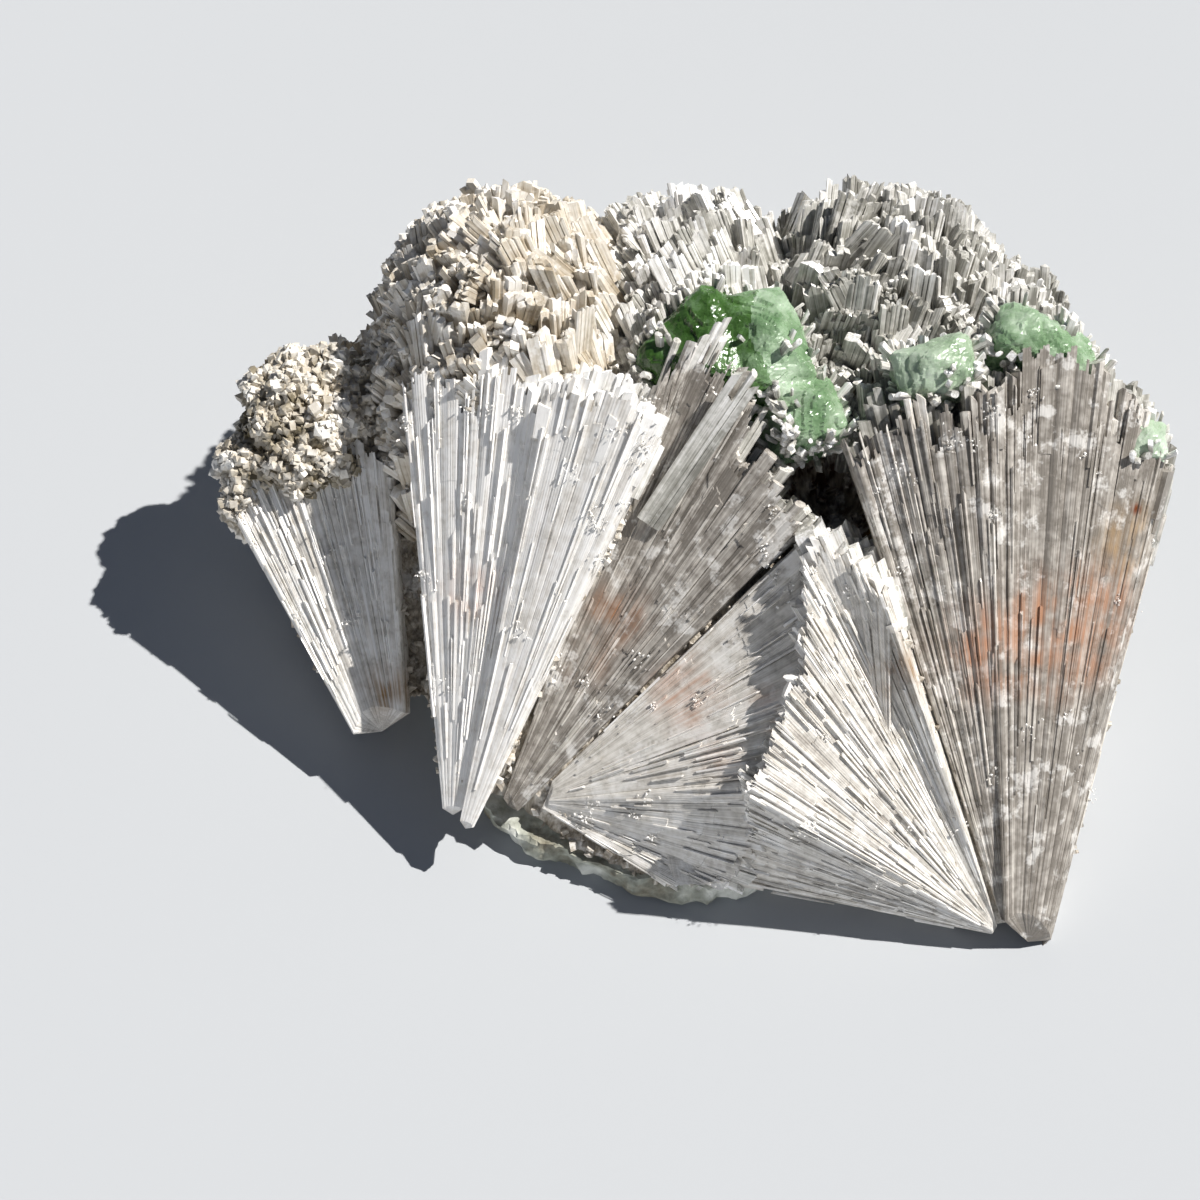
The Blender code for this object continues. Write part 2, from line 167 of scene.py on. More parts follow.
def scoleciteMaterial(name, stops, rough, streak=(0.28, 16.0), band=(1.3, 60.0), contrast=0.3, relief=0.35,
                      frost=0.6, marks=(), dots=()):
    # scolecite, a fibrous zeolite grown in sprays: silky along its fibres, IOR 1.51. The eye reads it by
    # the streaks along each prism, which run from clear grey to milky white where it is bruised.
    material, tree, shader = newMaterial(name)
    fibre = addNode(tree, "ShaderNodeAttribute", {"attribute_name": "fibre"})
    tone = addNode(tree, "ShaderNodeAttribute", {"attribute_name": "tone"})
    coords = addNode(tree, "ShaderNodeTexCoord")
    # fibres are about 0.1 mm thick: drawn 0.3 mm so that they show
    fine = addNode(tree, "ShaderNodeMapping", {"vector_type": "TEXTURE"},
                   {"Scale": (streak[0], streak[0], streak[1])}, {"Vector": fibre.outputs["Vector"]})
    wide = addNode(tree, "ShaderNodeMapping", {"vector_type": "TEXTURE"},
                   {"Scale": (band[0], band[0], band[1])}, {"Vector": fibre.outputs["Vector"]})
    lines = addNode(tree, "ShaderNodeTexNoise", values={"Scale": 1.0, "Detail": 2.0, "Roughness": 0.65},
                    links={"Vector": fine.outputs["Vector"]})
    bands = addNode(tree, "ShaderNodeTexNoise", values={"Scale": 1.0, "Detail": 1.0},
                    links={"Vector": wide.outputs["Vector"]})
    bruise = addNode(tree, "ShaderNodeTexNoise", values={"Scale": 420.0, "Detail": 2.0, "Roughness": 0.7},
                     links={"Vector": coords.outputs["Object"]})
    total = tone.outputs["Fac"]
    for source, low, high, amount in ((lines, 0.3, 0.7, contrast), (bands, 0.32, 0.68, contrast * 0.8),
                                      (bruise, 0.35, 0.68, 0.16)):
        part = spread(tree, source.outputs["Fac"], low, high, -amount, amount)
        total = addNode(tree, "ShaderNodeMath", links={0: total, 1: part}).outputs["Value"]
    colour = addRamp(tree, total, stops)
    # crushed spots turn sugary white, mostly near the broken ends
    crushed = addNode(tree, "ShaderNodeTexNoise", values={"Scale": 190.0, "Detail": 4.0, "Roughness": 0.72},
                      links={"Vector": coords.outputs["Object"]})
    white = addNode(tree, "ShaderNodeMapRange", {"interpolation_type": "SMOOTHSTEP"},
                    {"From Min": 0.53, "From Max": 0.63, "To Max": frost}, {"Value": crushed.outputs["Fac"]})
    colour = blendColour(tree, colour, "#F8F6F2", white.outputs["Result"])
    if marks:
        colour = stainedAndShadedColour(tree, colour, coords.outputs["Object"], wide.outputs["Vector"], marks, dots)
    tree.links.new(colour, shader.inputs["Base Color"])
    gloss = spread(tree, bruise.outputs["Fac"], 0.3, 0.7, *rough)
    tree.links.new(gloss, shader.inputs["Roughness"])
    bump = addNode(tree, "ShaderNodeBump", values={"Strength": relief, "Distance": 0.0003},
                   links={"Height": lines.outputs["Fac"]})
    tree.links.new(bump.outputs["Normal"], shader.inputs["Normal"])
    shader.inputs["IOR"].default_value = 1.51
    return material


silkyScolecite = scoleciteMaterial(
    "scolecite, silky broken fibres",
    [(0.0, "#7F7971"), (0.25, "#A8A29A"), (0.55, "#D2CDC4"), (0.8, "#EBE7E0"), (1.0, "#FCFAF6")],
    (0.2, 0.5), contrast=0.15, relief=0.14, frost=0.5, marks=stains, dots=specks)
glassyScolecite = scoleciteMaterial(
    "scolecite, glassy prisms",
    [(0.0, "#85837B"), (0.3, "#ADABA3"), (0.6, "#D3D1CA"), (0.85, "#F0EEEA"), (1.0, "#FFFFFE")],
    (0.05, 0.3), contrast=0.26, relief=0.12, frost=0.4)
frostedScolecite = scoleciteMaterial(
    "scolecite, frosted tips",
    [(0.0, "#A3957E"), (0.3, "#C3B8A6"), (0.6, "#D9D2C5"), (0.85, "#E8E3DA"), (1.0, "#F4F1EC")],
    (0.2, 0.6), streak=(0.35, 9.0), contrast=0.18, relief=0.25)
bodyScolecite = scoleciteMaterial(
    "scolecite, drusy walls of the hollows",
    [(0.0, "#786E5E"), (0.35, "#A89E8F"), (0.7, "#CDC6BA"), (1.0, "#E8E4DC")],
    (0.3, 0.7), streak=(0.5, 4.0), contrast=0.26, relief=0.5, marks=hollowStainsAndShade)
print("scene: scolecite materials made")


def newHeap():
    return {"points": [], "faces": [], "fibre": [], "tone": []}


def addPrism(heap, low, high, side, width, thick, taper=1.0, roll=0.0, section=squareSection, cap=0.0,
             slant=(0.0, 0.0), tone=0.5, tipTone=None, offset=0.0):
    # one crystal from low to high; width and thick are at its upper end
    z = high - low
    length = z.length
    z = z / length
    y = z.cross(side).normalized()
    x = y.cross(z)
    if roll:
        c, s = math.cos(roll), math.sin(roll)
        x, y = x * c + y * s, y * c - x * s
    points, fibre = heap["points"], heap["fibre"]
    first = len(points)
    count = len(section)
    for centre, scale, far in ((low, taper, 0.0), (high, 1.0, length)):
        for u, v in section:
            a, b = u * width / 2 * scale, v * thick / 2 * scale
            rise = (u * slant[0] + v * slant[1]) if far else 0.0
            points.append(centre + x * a + y * b + z * rise)
            fibre.append((a + offset, b - offset, far + offset * 3))
    faces = heap["faces"]
    for i in range(count):
        j = (i + 1) % count
        faces.append((first + i, first + j, first + count + j, first + count + i))
    faces.append(tuple(range(first + count - 1, first - 1, -1)))
    tipTone = tone if tipTone is None else tipTone
    heap["tone"] += [tone] * count + [tipTone] * count
    if cap:
        points.append(high + z * cap)
        fibre.append((offset, -offset, length + cap + offset * 3))
        for i in range(count):
            faces.append((first + count + i, first + count + (i + 1) % count, first + 2 * count))
        heap["tone"].append(tipTone)
    else:
        faces.append(tuple(range(first + count, first + 2 * count)))


def anyWay(draw):
    return Vector((draw.uniform(-1, 1), draw.uniform(-1, 1), draw.uniform(-1, 1)))


def addChips(heap, centre, reach, up, count, size, tone, draw):
    # bruised white crumbs, heaped round a centre and flattened along up
    for _ in range(count):
        way = Vector((draw.gauss(0, 1), draw.gauss(0, 1), draw.gauss(0, 1))) * reach * 0.5
        spot = centre + way - up * way.dot(up) * 0.7
        if spot.z < 2:   # none on the floor
            continue
        axis = anyWay(draw).normalized()
        big = draw.uniform(*size)
        addPrism(heap, spot - axis * big * 0.6, spot + axis * big * 0.6, axis.orthogonal(), big,
                 big * draw.uniform(0.4, 0.9), taper=draw.uniform(0.5, 1.1), section=chipSection,
                 slant=(draw.uniform(-0.3, 0.3) * big, draw.uniform(-0.3, 0.3) * big),
                 tone=tone + draw.uniform(-0.15, 0.15), offset=draw.uniform(0, 90))


def addPiece(name, heap, material, slot, *nodes):
    mesh = bpy.data.meshes.new(name)
    mesh.from_pydata([Vector((p[0], p[1], max(p[2], 0.1))) * mm for p in heap["points"]], [], heap["faces"])
    fibre = mesh.attributes.new("fibre", "FLOAT_VECTOR", "POINT")
    fibre.data.foreach_set("vector", [c for f in heap["fibre"] for c in f])
    tone = mesh.attributes.new("tone", "FLOAT", "POINT")
    tone.data.foreach_set("value", heap["tone"])
    bm = bmesh.new()
    bm.from_mesh(mesh)
    bmesh.ops.recalc_face_normals(bm, faces=bm.faces[:])
    bm.to_mesh(mesh)
    bm.free()
    mesh.materials.append(material)
    piece = bpy.data.objects.new(name, mesh)
    bpy.context.scene.collection.objects.link(piece)
    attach(piece, "root")
    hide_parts(*nodes)
    print(f"scene: {name}, {sum(len(f) - 2 for f in heap['faces'])} triangles")
    return piece


def lineLength(points):
    return sum((b - a).length for a, b in zip(points, points[1:]))


def atDistance(points, distance):
    for a, b in zip(points, points[1:]):
        far = (b - a).length
        if distance <= far:
            return a.lerp(b, distance / far)
        distance -= far
    return points[-1].copy()


# The broken fans, about on the foci and crests of the solids. start: where a fan is broken off, as a
# share of the way to its crest, back: the way its top runs back, flute: width of a rounded column at
# the crest, lath: width of one lath of it, tone: 0 clear grey to 1 milky white, spread: how uneven
# that is, arch: how round the columns are, relief: how far they step up and down, step: the same for
# single laths, cuts: cross breaks along the radius, top: rows of free prisms behind the crest,
# splinters: loose ones on the face, chips: heaps of white crumbs, ragged: how uneven the crest is.
fans = {
    "left": dict(
        focus=(-46, -43, 2), start=0.34, back=(2, 10, -17), seed=11,
        crest=[(-75, 3.5, 25), (-71, 12, 31), (-65, 14, 33.5), (-57, 13, 34), (-50, 10, 34)],
        flute=(1.6, 4.5), lath=0.5, tone=0.76, spread=0.1, arch=0.18, relief=0.25, step=0.03, cuts=4, top=3,
        splinters=90, chips=8, ragged=1.0),
    "second_left": dict(
        focus=(-40, -50, 3), start=0.15, back=(1, 12, -20), seed=12,
        crest=[(-47, 11, 50), (-41, 12, 54), (-33, 10, 57), (-24, 7, 58)],
        flute=(1.8, 4.5), lath=0.5, tone=0.95, spread=0.07, arch=0.2, relief=0.18, step=0.012, cuts=5, top=7,
        splinters=60, chips=12, ragged=2.2),
    "second_right": dict(
        focus=(-40, -50, 4), start=0.12, back=(2, 12, -18), seed=13,
        crest=[(-25, 6, 58.4), (-17, 4, 60.4), (-10, 1, 60), (-8, -3, 56)],
        flute=(2.5, 7.0), lath=0.6, tone=0.9, spread=0.05, arch=0.12, relief=0.15, step=0.008, cuts=6, top=6,
        splinters=30, chips=12, ragged=1.0),
    "dark_diagonal": dict(
        focus=(-34, -44, 5), start=0.1, back=(0, 10, -20), seed=14,
        crest=[(-8, 6, 57), (0, 14, 61), (6, 9, 59), (6, 1, 52), (10, -5, 49), (15, -11, 46)],
        flute=(2.0, 6.0), lath=0.55, tone=0.14, spread=0.12, arch=0.2, relief=0.35, step=0.02, cuts=5, top=4,
        splinters=100, chips=10, ragged=1.2),
    "middle": dict(
        focus=(-27, -39, 9), start=0.08, back=(4, 8, -12), seed=15,
        crest=[(15, -12, 44), (18, -21, 39), (16, -30, 34), (13, -38, 29), (9, -45, 23),
               (8, -50, 16), (4, -53, 8), (-6, -52, 6)],
        flute=(2.5, 7.0), lath=0.55, tone=0.6, spread=0.08, arch=0.12, relief=0.2, step=0.012, cuts=6, top=3,
        splinters=90, chips=18, ragged=0.5),
    "lower_right": dict(
        focus=(47, -60, 3.5), start=0.03, back=(4, 12, -14), seed=16,
        crest=[(4, -51, 4), (7, -50, 15), (7, -47, 26), (10, -40, 31), (15, -31, 37), (16, -23, 42),
               (15, -16, 47), (20, -16, 48), (25, -20, 46), (28, -24, 44)],
        flute=(1.4, 4.5), lath=0.5, tone=0.6, spread=0.14, arch=0.15, relief=0.22, step=0.025, cuts=6, top=4,
        splinters=320, chips=12, ragged=0.8),
    "right_inner": dict(
        focus=(48, -60, 4), start=0.03, back=(2, 14, -20), seed=17,
        crest=[(22, -1, 53), (26, 3, 56), (32, 2, 57), (39, 1, 57), (45, 3, 58)],
        flute=(2.0, 4.5), lath=0.55, tone=0.14, spread=0.12, arch=0.35, relief=0.32, step=0.015, cuts=5,
        top=7, splinters=70, chips=10, ragged=1.4),
    "right_outer": dict(
        focus=(49, -80, -11), start=0.25, back=(2, 14, -20), seed=18,
        crest=[(43, 4, 59), (51, 10, 59), (60, 10, 57), (66, 8, 52), (72, 4, 45), (74, 2, 36)],
        flute=(2.5, 6.0), lath=0.55, tone=0.06, spread=0.1, arch=0.28, relief=0.22, step=0.012, cuts=5, top=7,
        splinters=60, chips=9, ragged=1.3),
    "right_side": dict(
        focus=(49, -80, -11), start=0.25, back=(-6, 12, -4), seed=19,
        crest=[(74, 2, 38), (75, 6, 29), (74, 8, 19), (71, 8, 9)],
        flute=(2.5, 5.0), lath=0.55, tone=0.3, spread=0.1, arch=0.18, relief=0.2, step=0.02, cuts=5, top=3,
        splinters=50, chips=4, ragged=0.7),
}
wrap = 0.75   # how far down its back the face of a fan runs round its ends, as a share


def growFace(heap, fan, draw):
    # the broken face of a fan and its two flanks, as one closed fluted slab
    focus = Vector(fan["focus"])
    crest = [Vector(p) for p in fan["crest"]]
    back = Vector(fan["back"])
    start = fan["start"]
    line = [crest[0] + back * wrap] + crest + [crest[-1] + back * wrap]
    total = lineLength(line)
    middle = atDistance(line, total / 2)
    across = atDistance(line, total / 2 + 2) - atDistance(line, total / 2 - 2)
    facing = -1 if (middle - focus).cross(across).dot(back) > 0 else 1

    flutes = []
    at = 0.0
    while at < total:
        wide = draw.uniform(*fan["flute"])
        sway = noise.noise(Vector((at / 9, fan["seed"] * 3.1, 0)))
        lift = sway * fan["relief"] * 1.6 + draw.uniform(-0.35, 0.35) * fan["relief"]
        cuts, lifts, tones = [], [lift], [fan["tone"] + draw.uniform(-1, 1) * fan["spread"] * 0.8]
        for k in range(fan["cuts"]):
            cuts.append(start + (0.97 - start) * (k + draw.uniform(0.1, 0.9)) / fan["cuts"])
            jump = draw.choice((0, 0, 0.2, -0.2, 0.5, -0.5)) * fan["relief"]
            lifts.append(lift * 0.6 + lifts[-1] * 0.4 + jump)
            tones.append(tones[0] + draw.uniform(-1, 1) * fan["spread"] * 0.5)
        count = max(2, round(wide / fan["lath"]))
        flutes.append({"from": at, "wide": wide, "count": count, "cuts": cuts, "lifts": lifts, "tones": tones,
                       "reach": draw.uniform(0.99 - 0.035 * fan["ragged"], 1.03),
                       "offset": draw.uniform(0, 90),
                       "arch": fan["arch"] * draw.uniform(0.5, 1.3) * min(wide, 4) / 3,
                       "groove": draw.uniform(0.0, 1.0) ** 3 * fan["relief"]})
        at += wide
    scale = total / at

    columns = []
    for flute in flutes:
        jag = 0.0
        for i in range(flute["count"]):
            own = draw.uniform(-1, 1) * fan["step"]
            ownTone = draw.uniform(-1, 1) * fan["spread"] * 0.7
            if draw.random() < 0.4 or i == 0:
                jag = draw.uniform(-0.018, 0.018)
            end = flute["reach"] + draw.uniform(-0.012, 0.012)
            rows = [(start, flute["lifts"][0] + own, flute["tones"][0] + ownTone)]
            last = start
            for k, cut in enumerate(flute["cuts"]):
                if draw.random() < 0.3:
                    own = draw.uniform(-1, 1) * fan["step"] * 1.4
                if draw.random() < 0.02:
                    own = -draw.uniform(0.2, 0.7)
                radius = min(max(cut + jag, last + 0.012), 0.975)
                between = (last + radius) / 2
                rows.append((between, flute["lifts"][k] + own * 0.5, flute["tones"][k] + ownTone))
                rows.append((radius - 0.003, flute["lifts"][k] + own, flute["tones"][k] + ownTone))
                rows.append((radius, flute["lifts"][k + 1] + own, flute["tones"][k + 1] + ownTone))
                last = radius
            rows.append((max(end, last + 0.01), flute["lifts"][-1] + own, flute["tones"][-1] + ownTone))
            tilt = draw.uniform(-1, 1) * fan["step"] * 0.7
            for part in (0, 1, 2):
                place = (i + (0.03, 0.5, 0.97)[part]) / flute["count"]
                swell = flute["arch"] * (1 - (place * 2 - 1) ** 2) + tilt * (part - 1)
                if part != 1:
                    swell -= 0.025
                if (i == 0 and part == 0) or (i == flute["count"] - 1 and part == 2):
                    swell -= flute["groove"]
                distance = (flute["from"] + flute["wide"] * place) * scale
                columns.append((distance, swell, rows, flute["offset"]))

    points, faces, first = heap["points"], heap["faces"], len(heap["points"])
    tall = len(columns[0][2])
    for distance, swell, rows, offset in columns:
        # the crest's corners are rounded by taking the mean of three places along it
        spot = (atDistance(line, distance - 1.2) + atDistance(line, distance + 1.2)
                + atDistance(line, distance)) / 3
        ray = spot - focus
        tangent = atDistance(line, distance + 2.5) - atDistance(line, distance - 2.5)
        outward = ray.cross(tangent).normalized() * facing
        for radius, lift, tone in rows:
            sway = noise.noise(Vector((distance / 5, radius * 9, fan["seed"]))) * 0.35 * fan["relief"]
            points.append(focus + ray * radius + outward * (lift + swell + sway) * (0.12 + 0.88 * radius))
            heap["fibre"].append((distance + offset, swell + lift, radius * ray.length + offset * 3))
            # the tone rises with the swell: lighter on the crowns of the columns and darker down in the
            # grooves, a painted shade
            heap["tone"].append(tone + swell * 0.12)
    for i in range(len(columns) - 1):
        for j in range(tall - 1):
            a = first + i * tall + j
            faces.append((a, a + tall, a + tall + 1, a + 1))
    last = first + (len(columns) - 1) * tall
    ring = [first + j for j in range(tall)] + [first + i * tall + tall - 1 for i in range(1, len(columns))]
    ring += [last + j for j in range(tall - 2, -1, -1)]
    inner = sum((atDistance(line, total * k / 8) for k in range(9)), Vector()) / 9
    # the slab is closed by a point inside the fan, and its lower end by one on the broken end
    for share, tone in ((0.55, fan["tone"]), (start * 0.9, fan["tone"] - 0.3)):
        points.append(focus + (inner - focus) * share)
        heap["fibre"].append((0, 0, 0))
        heap["tone"].append(tone)
    inside, end = len(points) - 2, len(points) - 1
    for i in range(len(columns) - 1):
        faces.append((first + i * tall, first + (i + 1) * tall, end))
    ring.append(end)
    for a, b in zip(ring, ring[1:] + ring[:1]):
        faces.append((a, b, inside))


def growFan(faces, loose, tops, core, fan):
    draw = random.Random(fan["seed"])
    focus = Vector(fan["focus"])
    crest = [Vector(p) for p in fan["crest"]]
    back = Vector(fan["back"])
    start = fan["start"]
    span = lineLength(crest)
    growFace(faces, fan, draw)

    def frameAt(share, depth=0.0):
        edge = atDistance(crest, share * span)
        tip = edge + back * depth + (edge - focus).normalized() * math.sin(math.pi * depth) * 2.5
        ray = tip - focus
        side = (atDistance(crest, share * span + 2) - atDistance(crest, share * span - 2)).normalized()
        outward = -(back - back.project(ray)).normalized()
        return ray, side, outward

    # a closed wedge inside the fan, so that nothing shows through behind it
    steps = max(3, round(span / 7))
    for k in range(steps):
        corners = []
        for share in (max(k / steps, 0.02), (k + 0.5) / steps, min((k + 1.05) / steps, 0.98)):
            for depth in (0.1, 0.5, 1.0):
                ray, side, outward = frameAt(share, depth)
                sink = outward * -2.5
                corners += [focus + ray * (start + 0.03) + sink * 0.4, focus + ray * 0.86 + sink]
        core.append(corners)

    # loose splinters on the face
    for _ in range(fan["splinters"]):
        ray, side, outward = frameAt(draw.random())
        low = draw.uniform(start, 0.93) ** 0.8
        high = min(low + draw.uniform(0.05, 0.25), 1.0)
        if high - low < 0.03 or (focus + ray * low).z < 3:
            continue
        lift = draw.uniform(0.2, 0.9) * fan["relief"] + 0.12
        width = draw.uniform(0.18, 0.5)
        addPrism(loose, focus + ray * low + outward * lift * low,
                 focus + ray * high + outward * (lift + draw.uniform(-0.1, 0.3)) * high, side,
                 width, width * 0.8, taper=draw.uniform(0.5, 1.0), roll=draw.uniform(0, 1.5),
                 slant=(draw.uniform(-0.3, 0.3), draw.uniform(-0.3, 0.3)),
                 tone=min(1.0, fan["tone"] + draw.uniform(0.0, 0.35)), offset=draw.uniform(0, 90))

    # white crumbs where the face is bruised, and along the crest
    for k in range(fan["chips"]):
        ray, side, outward = frameAt(draw.random())
        radius = draw.uniform(0.88, 1.0) if k % 2 else draw.uniform(start + 0.15, 0.95)
        addChips(loose, focus + ray * radius + outward * 0.2, draw.uniform(0.7, 2.4), outward,
                 draw.randint(8, 26), (0.12, 0.36), 0.95, draw)

    # free prisms along the crest and behind it, in blocks like castle walls
    rows = fan["top"] + 2
    facing = frameAt(0.5)[2]
    for row in range(rows):
        depth = (row + 0.15) / rows
        at = draw.uniform(0, 0.02)
        while at < 1.0:
            wide = draw.uniform(1.6, 4.2)
            count = max(1, round(wide / draw.uniform(0.9, 2.2)))
            height = draw.uniform(-2.6, 2.0) + 1.6 * noise.noise(Vector((at * 8, depth * 4, fan["seed"])))
            height *= fan["ragged"]
            slope = draw.uniform(-0.5, 0.5)
            blockTone = fan["tone"] + draw.uniform(-0.15, 0.2)
            foot = draw.uniform(0.86, 0.93) if row == 0 else 0.87
            behind = facing * (-0.9 if row == 0 else -0.2)
            for j in range(count):
                share = at + wide / span * (j + 0.5) / count
                ray, side, outward = frameAt(min(share, 1.0), depth)
                rise = height + slope * (j - count / 2) + draw.uniform(-0.6, 0.5)
                if draw.random() < 0.12:
                    rise -= draw.uniform(1, 4)
                size = wide / count * draw.uniform(0.9, 1.12)
                wobble = side * draw.uniform(-0.15, 0.15) + outward * draw.uniform(-0.4, 0.4) + behind
                # each prism is painted darker at its foot, most in the rows behind the crest, as painted
                # shade among the prisms, and lighter at its tip, partly the real frosted white and partly
                # painted light
                addPrism(loose if row == 0 else tops, focus + ray * foot + wobble,
                         focus + ray + ray.normalized() * rise + wobble, side,
                         size, size * draw.uniform(0.8, 1.7), taper=0.85, roll=draw.uniform(-0.2, 0.2),
                         section=draw.choice((squareSection, bluntSection)),
                         cap=draw.choice((0, 0, 0.2, 0.4)),
                         slant=(draw.uniform(-0.6, 0.6), draw.uniform(-0.5, 0.5)),
                         tone=blockTone - (0.05 if row == 0 else 0.25),
                         tipTone=blockTone + draw.uniform(0.0, 0.35), offset=draw.uniform(0, 90))
            at += wide / span


# long clear prisms that stand free in front of the green apophyllite: foot, tip, width, count
needles = [
    dict(foot=(-12.0, -5.0, 42.5), tip=(3.2, 16.2, 63.4), width=3.6, count=4),
    dict(foot=(-8.5, -8.0, 42.5), tip=(7.2, 7.0, 62.0), width=4.2, count=4),
    dict(foot=(-10.5, 2.0, 47.0), tip=(-4.0, 15.5, 58.5), width=1.0, count=1),
    dict(foot=(2.0, -4.0, 46.0), tip=(9.8, 6.5, 53.0), width=2.4, count=3),
]


def growNeedles(heap):
    draw = random.Random(5)
    for bunch in needles:
        foot, tip = Vector(bunch["foot"]), Vector(bunch["tip"])
        ray = tip - foot
        side = ray.cross(Vector((0.1, -0.5, 0.85))).normalized()
        for i in range(bunch["count"]):
            place = (i + 0.5) / bunch["count"] - 0.5
            size = bunch["width"] / bunch["count"]
            rise = 0.0 if i == bunch["count"] // 2 else -draw.uniform(0.5, 6.0)
            low = foot + side * place * bunch["width"] * 0.9
            high = tip + side * place * bunch["width"] + ray.normalized() * rise
            # painted darker at the foot, as painted shade down among the other crystals, and lighter at the
            # tip, as painted light
            addPrism(heap, low, high, side, size * 1.15, size * draw.uniform(0.9, 1.6), taper=0.9,
                     roll=draw.uniform(-0.3, 0.3), section=draw.choice((squareSection, bluntSection)),
                     cap=draw.choice((0, 0.4)), slant=(draw.uniform(-0.6, 0.6), draw.uniform(-0.5, 0.5)),
                     tone=0.25, tipTone=0.6, offset=draw.uniform(0, 90))


# The crust: closed sprays behind the fans. block: width of a blade of prisms, deep: its thickness as
# a share of that, prism: width of one prism, free: how far the blades stand out of the body, sweep:
# the way the blades lean on the face that is seen from the front, stray: how unevenly they lean.
crusts = {
    "dome": dict(
        focus=(-31, 29, 14), reach=(24, 32, 49), floor=-0.15, front=-26, lean=(0, 0, 0), seed=21,
        blocks=900, block=(1.6, 4.4), deep=(0.4, 0.8), prism=(0.7, 1.4), free=(-3.4, 1.8), long=7.0,
        sweep=(-0.5, 0.7, 0.55), swept=0.68, stray=0.5, tone=0.52, spread=0.2, look="frosted", crumbs=700),
    "middle_crown": dict(
        focus=(1, 32, 12), reach=(21, 31, 41), floor=-0.15, front=-22, lean=(-3, 2, 2), seed=22,
        blocks=420, block=(2.2, 5.5), deep=(0.25, 0.5), prism=(0.6, 1.3), free=(-4.0, 2.4), long=7.5,
        sweep=(-0.5, 0.75, 0.5), swept=0.65, stray=0.25, tone=0.58, spread=0.24, look="glassy", crumbs=160),
    "right_crown": dict(
        focus=(29, 30, 12), reach=(25, 34, 42), floor=-0.15, front=-22, lean=(2, 2, 2), seed=23,
        blocks=520, block=(2.4, 6.5), deep=(0.25, 0.5), prism=(0.6, 1.3), free=(-4.5, 2.6), long=8.0,
        sweep=(0.3, 0.8, 0.5), swept=0.65, stray=0.35, tone=0.38, spread=0.3, look="glassy", crumbs=160),
    "right_column": dict(
        focus=(50, 20, 10), reach=(15, 32, 42), floor=-0.1, front=-14, lean=(0, 1, 0), seed=24,
        blocks=340, block=(2.0, 4.5), deep=(0.3, 0.7), prism=(0.7, 1.4), free=(-3.0, 2.0), long=7.0,
        sweep=(0.15, 0.85, 0.5), swept=0.6, stray=0.2, tone=0.45, spread=0.26, look="glassy", crumbs=120),
    "left_flank": dict(
        focus=(-52, 24, 8), reach=(13, 20, 26), floor=-0.1, front=-12, lean=(-2, 0, 0), seed=25,
        blocks=170, block=(1.6, 3.6), deep=(0.4, 0.8), prism=(0.7, 1.3), free=(-2.5, 2.0), long=7.0,
        sweep=(-0.5, 0.7, 0.4), swept=0.4, stray=0.3, tone=0.42, spread=0.2, look="frosted", crumbs=120),
}
squareness = 2.7   # of the crusts seen from above, as in the solids


def crustPoint(crust, way):
    far = (abs(way.x) ** squareness + abs(way.y) ** squareness) ** (1 / squareness)
    swell = math.hypot(way.x, way.y) / far if far else 1.0
    reach = crust["reach"]
    return Vector((way.x * swell * reach[0], way.y * swell * reach[1], way.z * reach[2]))


def addBlade(heap, top, axis, side, wide, deep, prism, length, tone, draw):
    # a blade of parallel prisms side by side, with a stepped top
    z = axis.normalized()
    y = z.cross(side).normalized()
    x = y.cross(z)
    across, behind = max(1, round(wide / prism)), max(1, round(deep / prism))
    slope = draw.uniform(-0.7, 0.7)
    crown = draw.uniform(0.0, 1.0)
    for i in range(across):
        for j in range(behind):
            u, v = (i + 0.5) / across * 2 - 1, (j + 0.5) / behind * 2 - 1
            foot = x * (u * wide / 2) + y * (v * deep / 2)
            rise = -crown * u * u + slope * u * wide / 3 + draw.uniform(-0.5, 0.4)
            rise -= 0.7 * draw.random() * (j > 0)
            if draw.random() < 0.14:
                rise -= draw.uniform(0.5, 2.5)
            high = top + foot * 1.04 + z * rise
            low = top + foot * 0.9 - z * length
            # each prism is painted darker at its foot, as painted shade down among the blades, and lighter at
            # its tip, partly the real frosted white and partly painted light
            addPrism(heap, low, high, x, wide / across * draw.uniform(0.92, 1.1),
                     deep / behind * draw.uniform(0.85, 1.15), taper=0.88, roll=draw.uniform(-0.08, 0.08),
                     section=draw.choice((squareSection, squareSection, bluntSection)),
                     cap=draw.choice((0, 0, 0.2, 0.45)),
                     slant=(draw.uniform(-0.35, 0.35), draw.uniform(-0.35, 0.35)),
                     tone=tone - 0.28, tipTone=tone + draw.uniform(-0.05, 0.3), offset=draw.uniform(0, 90))


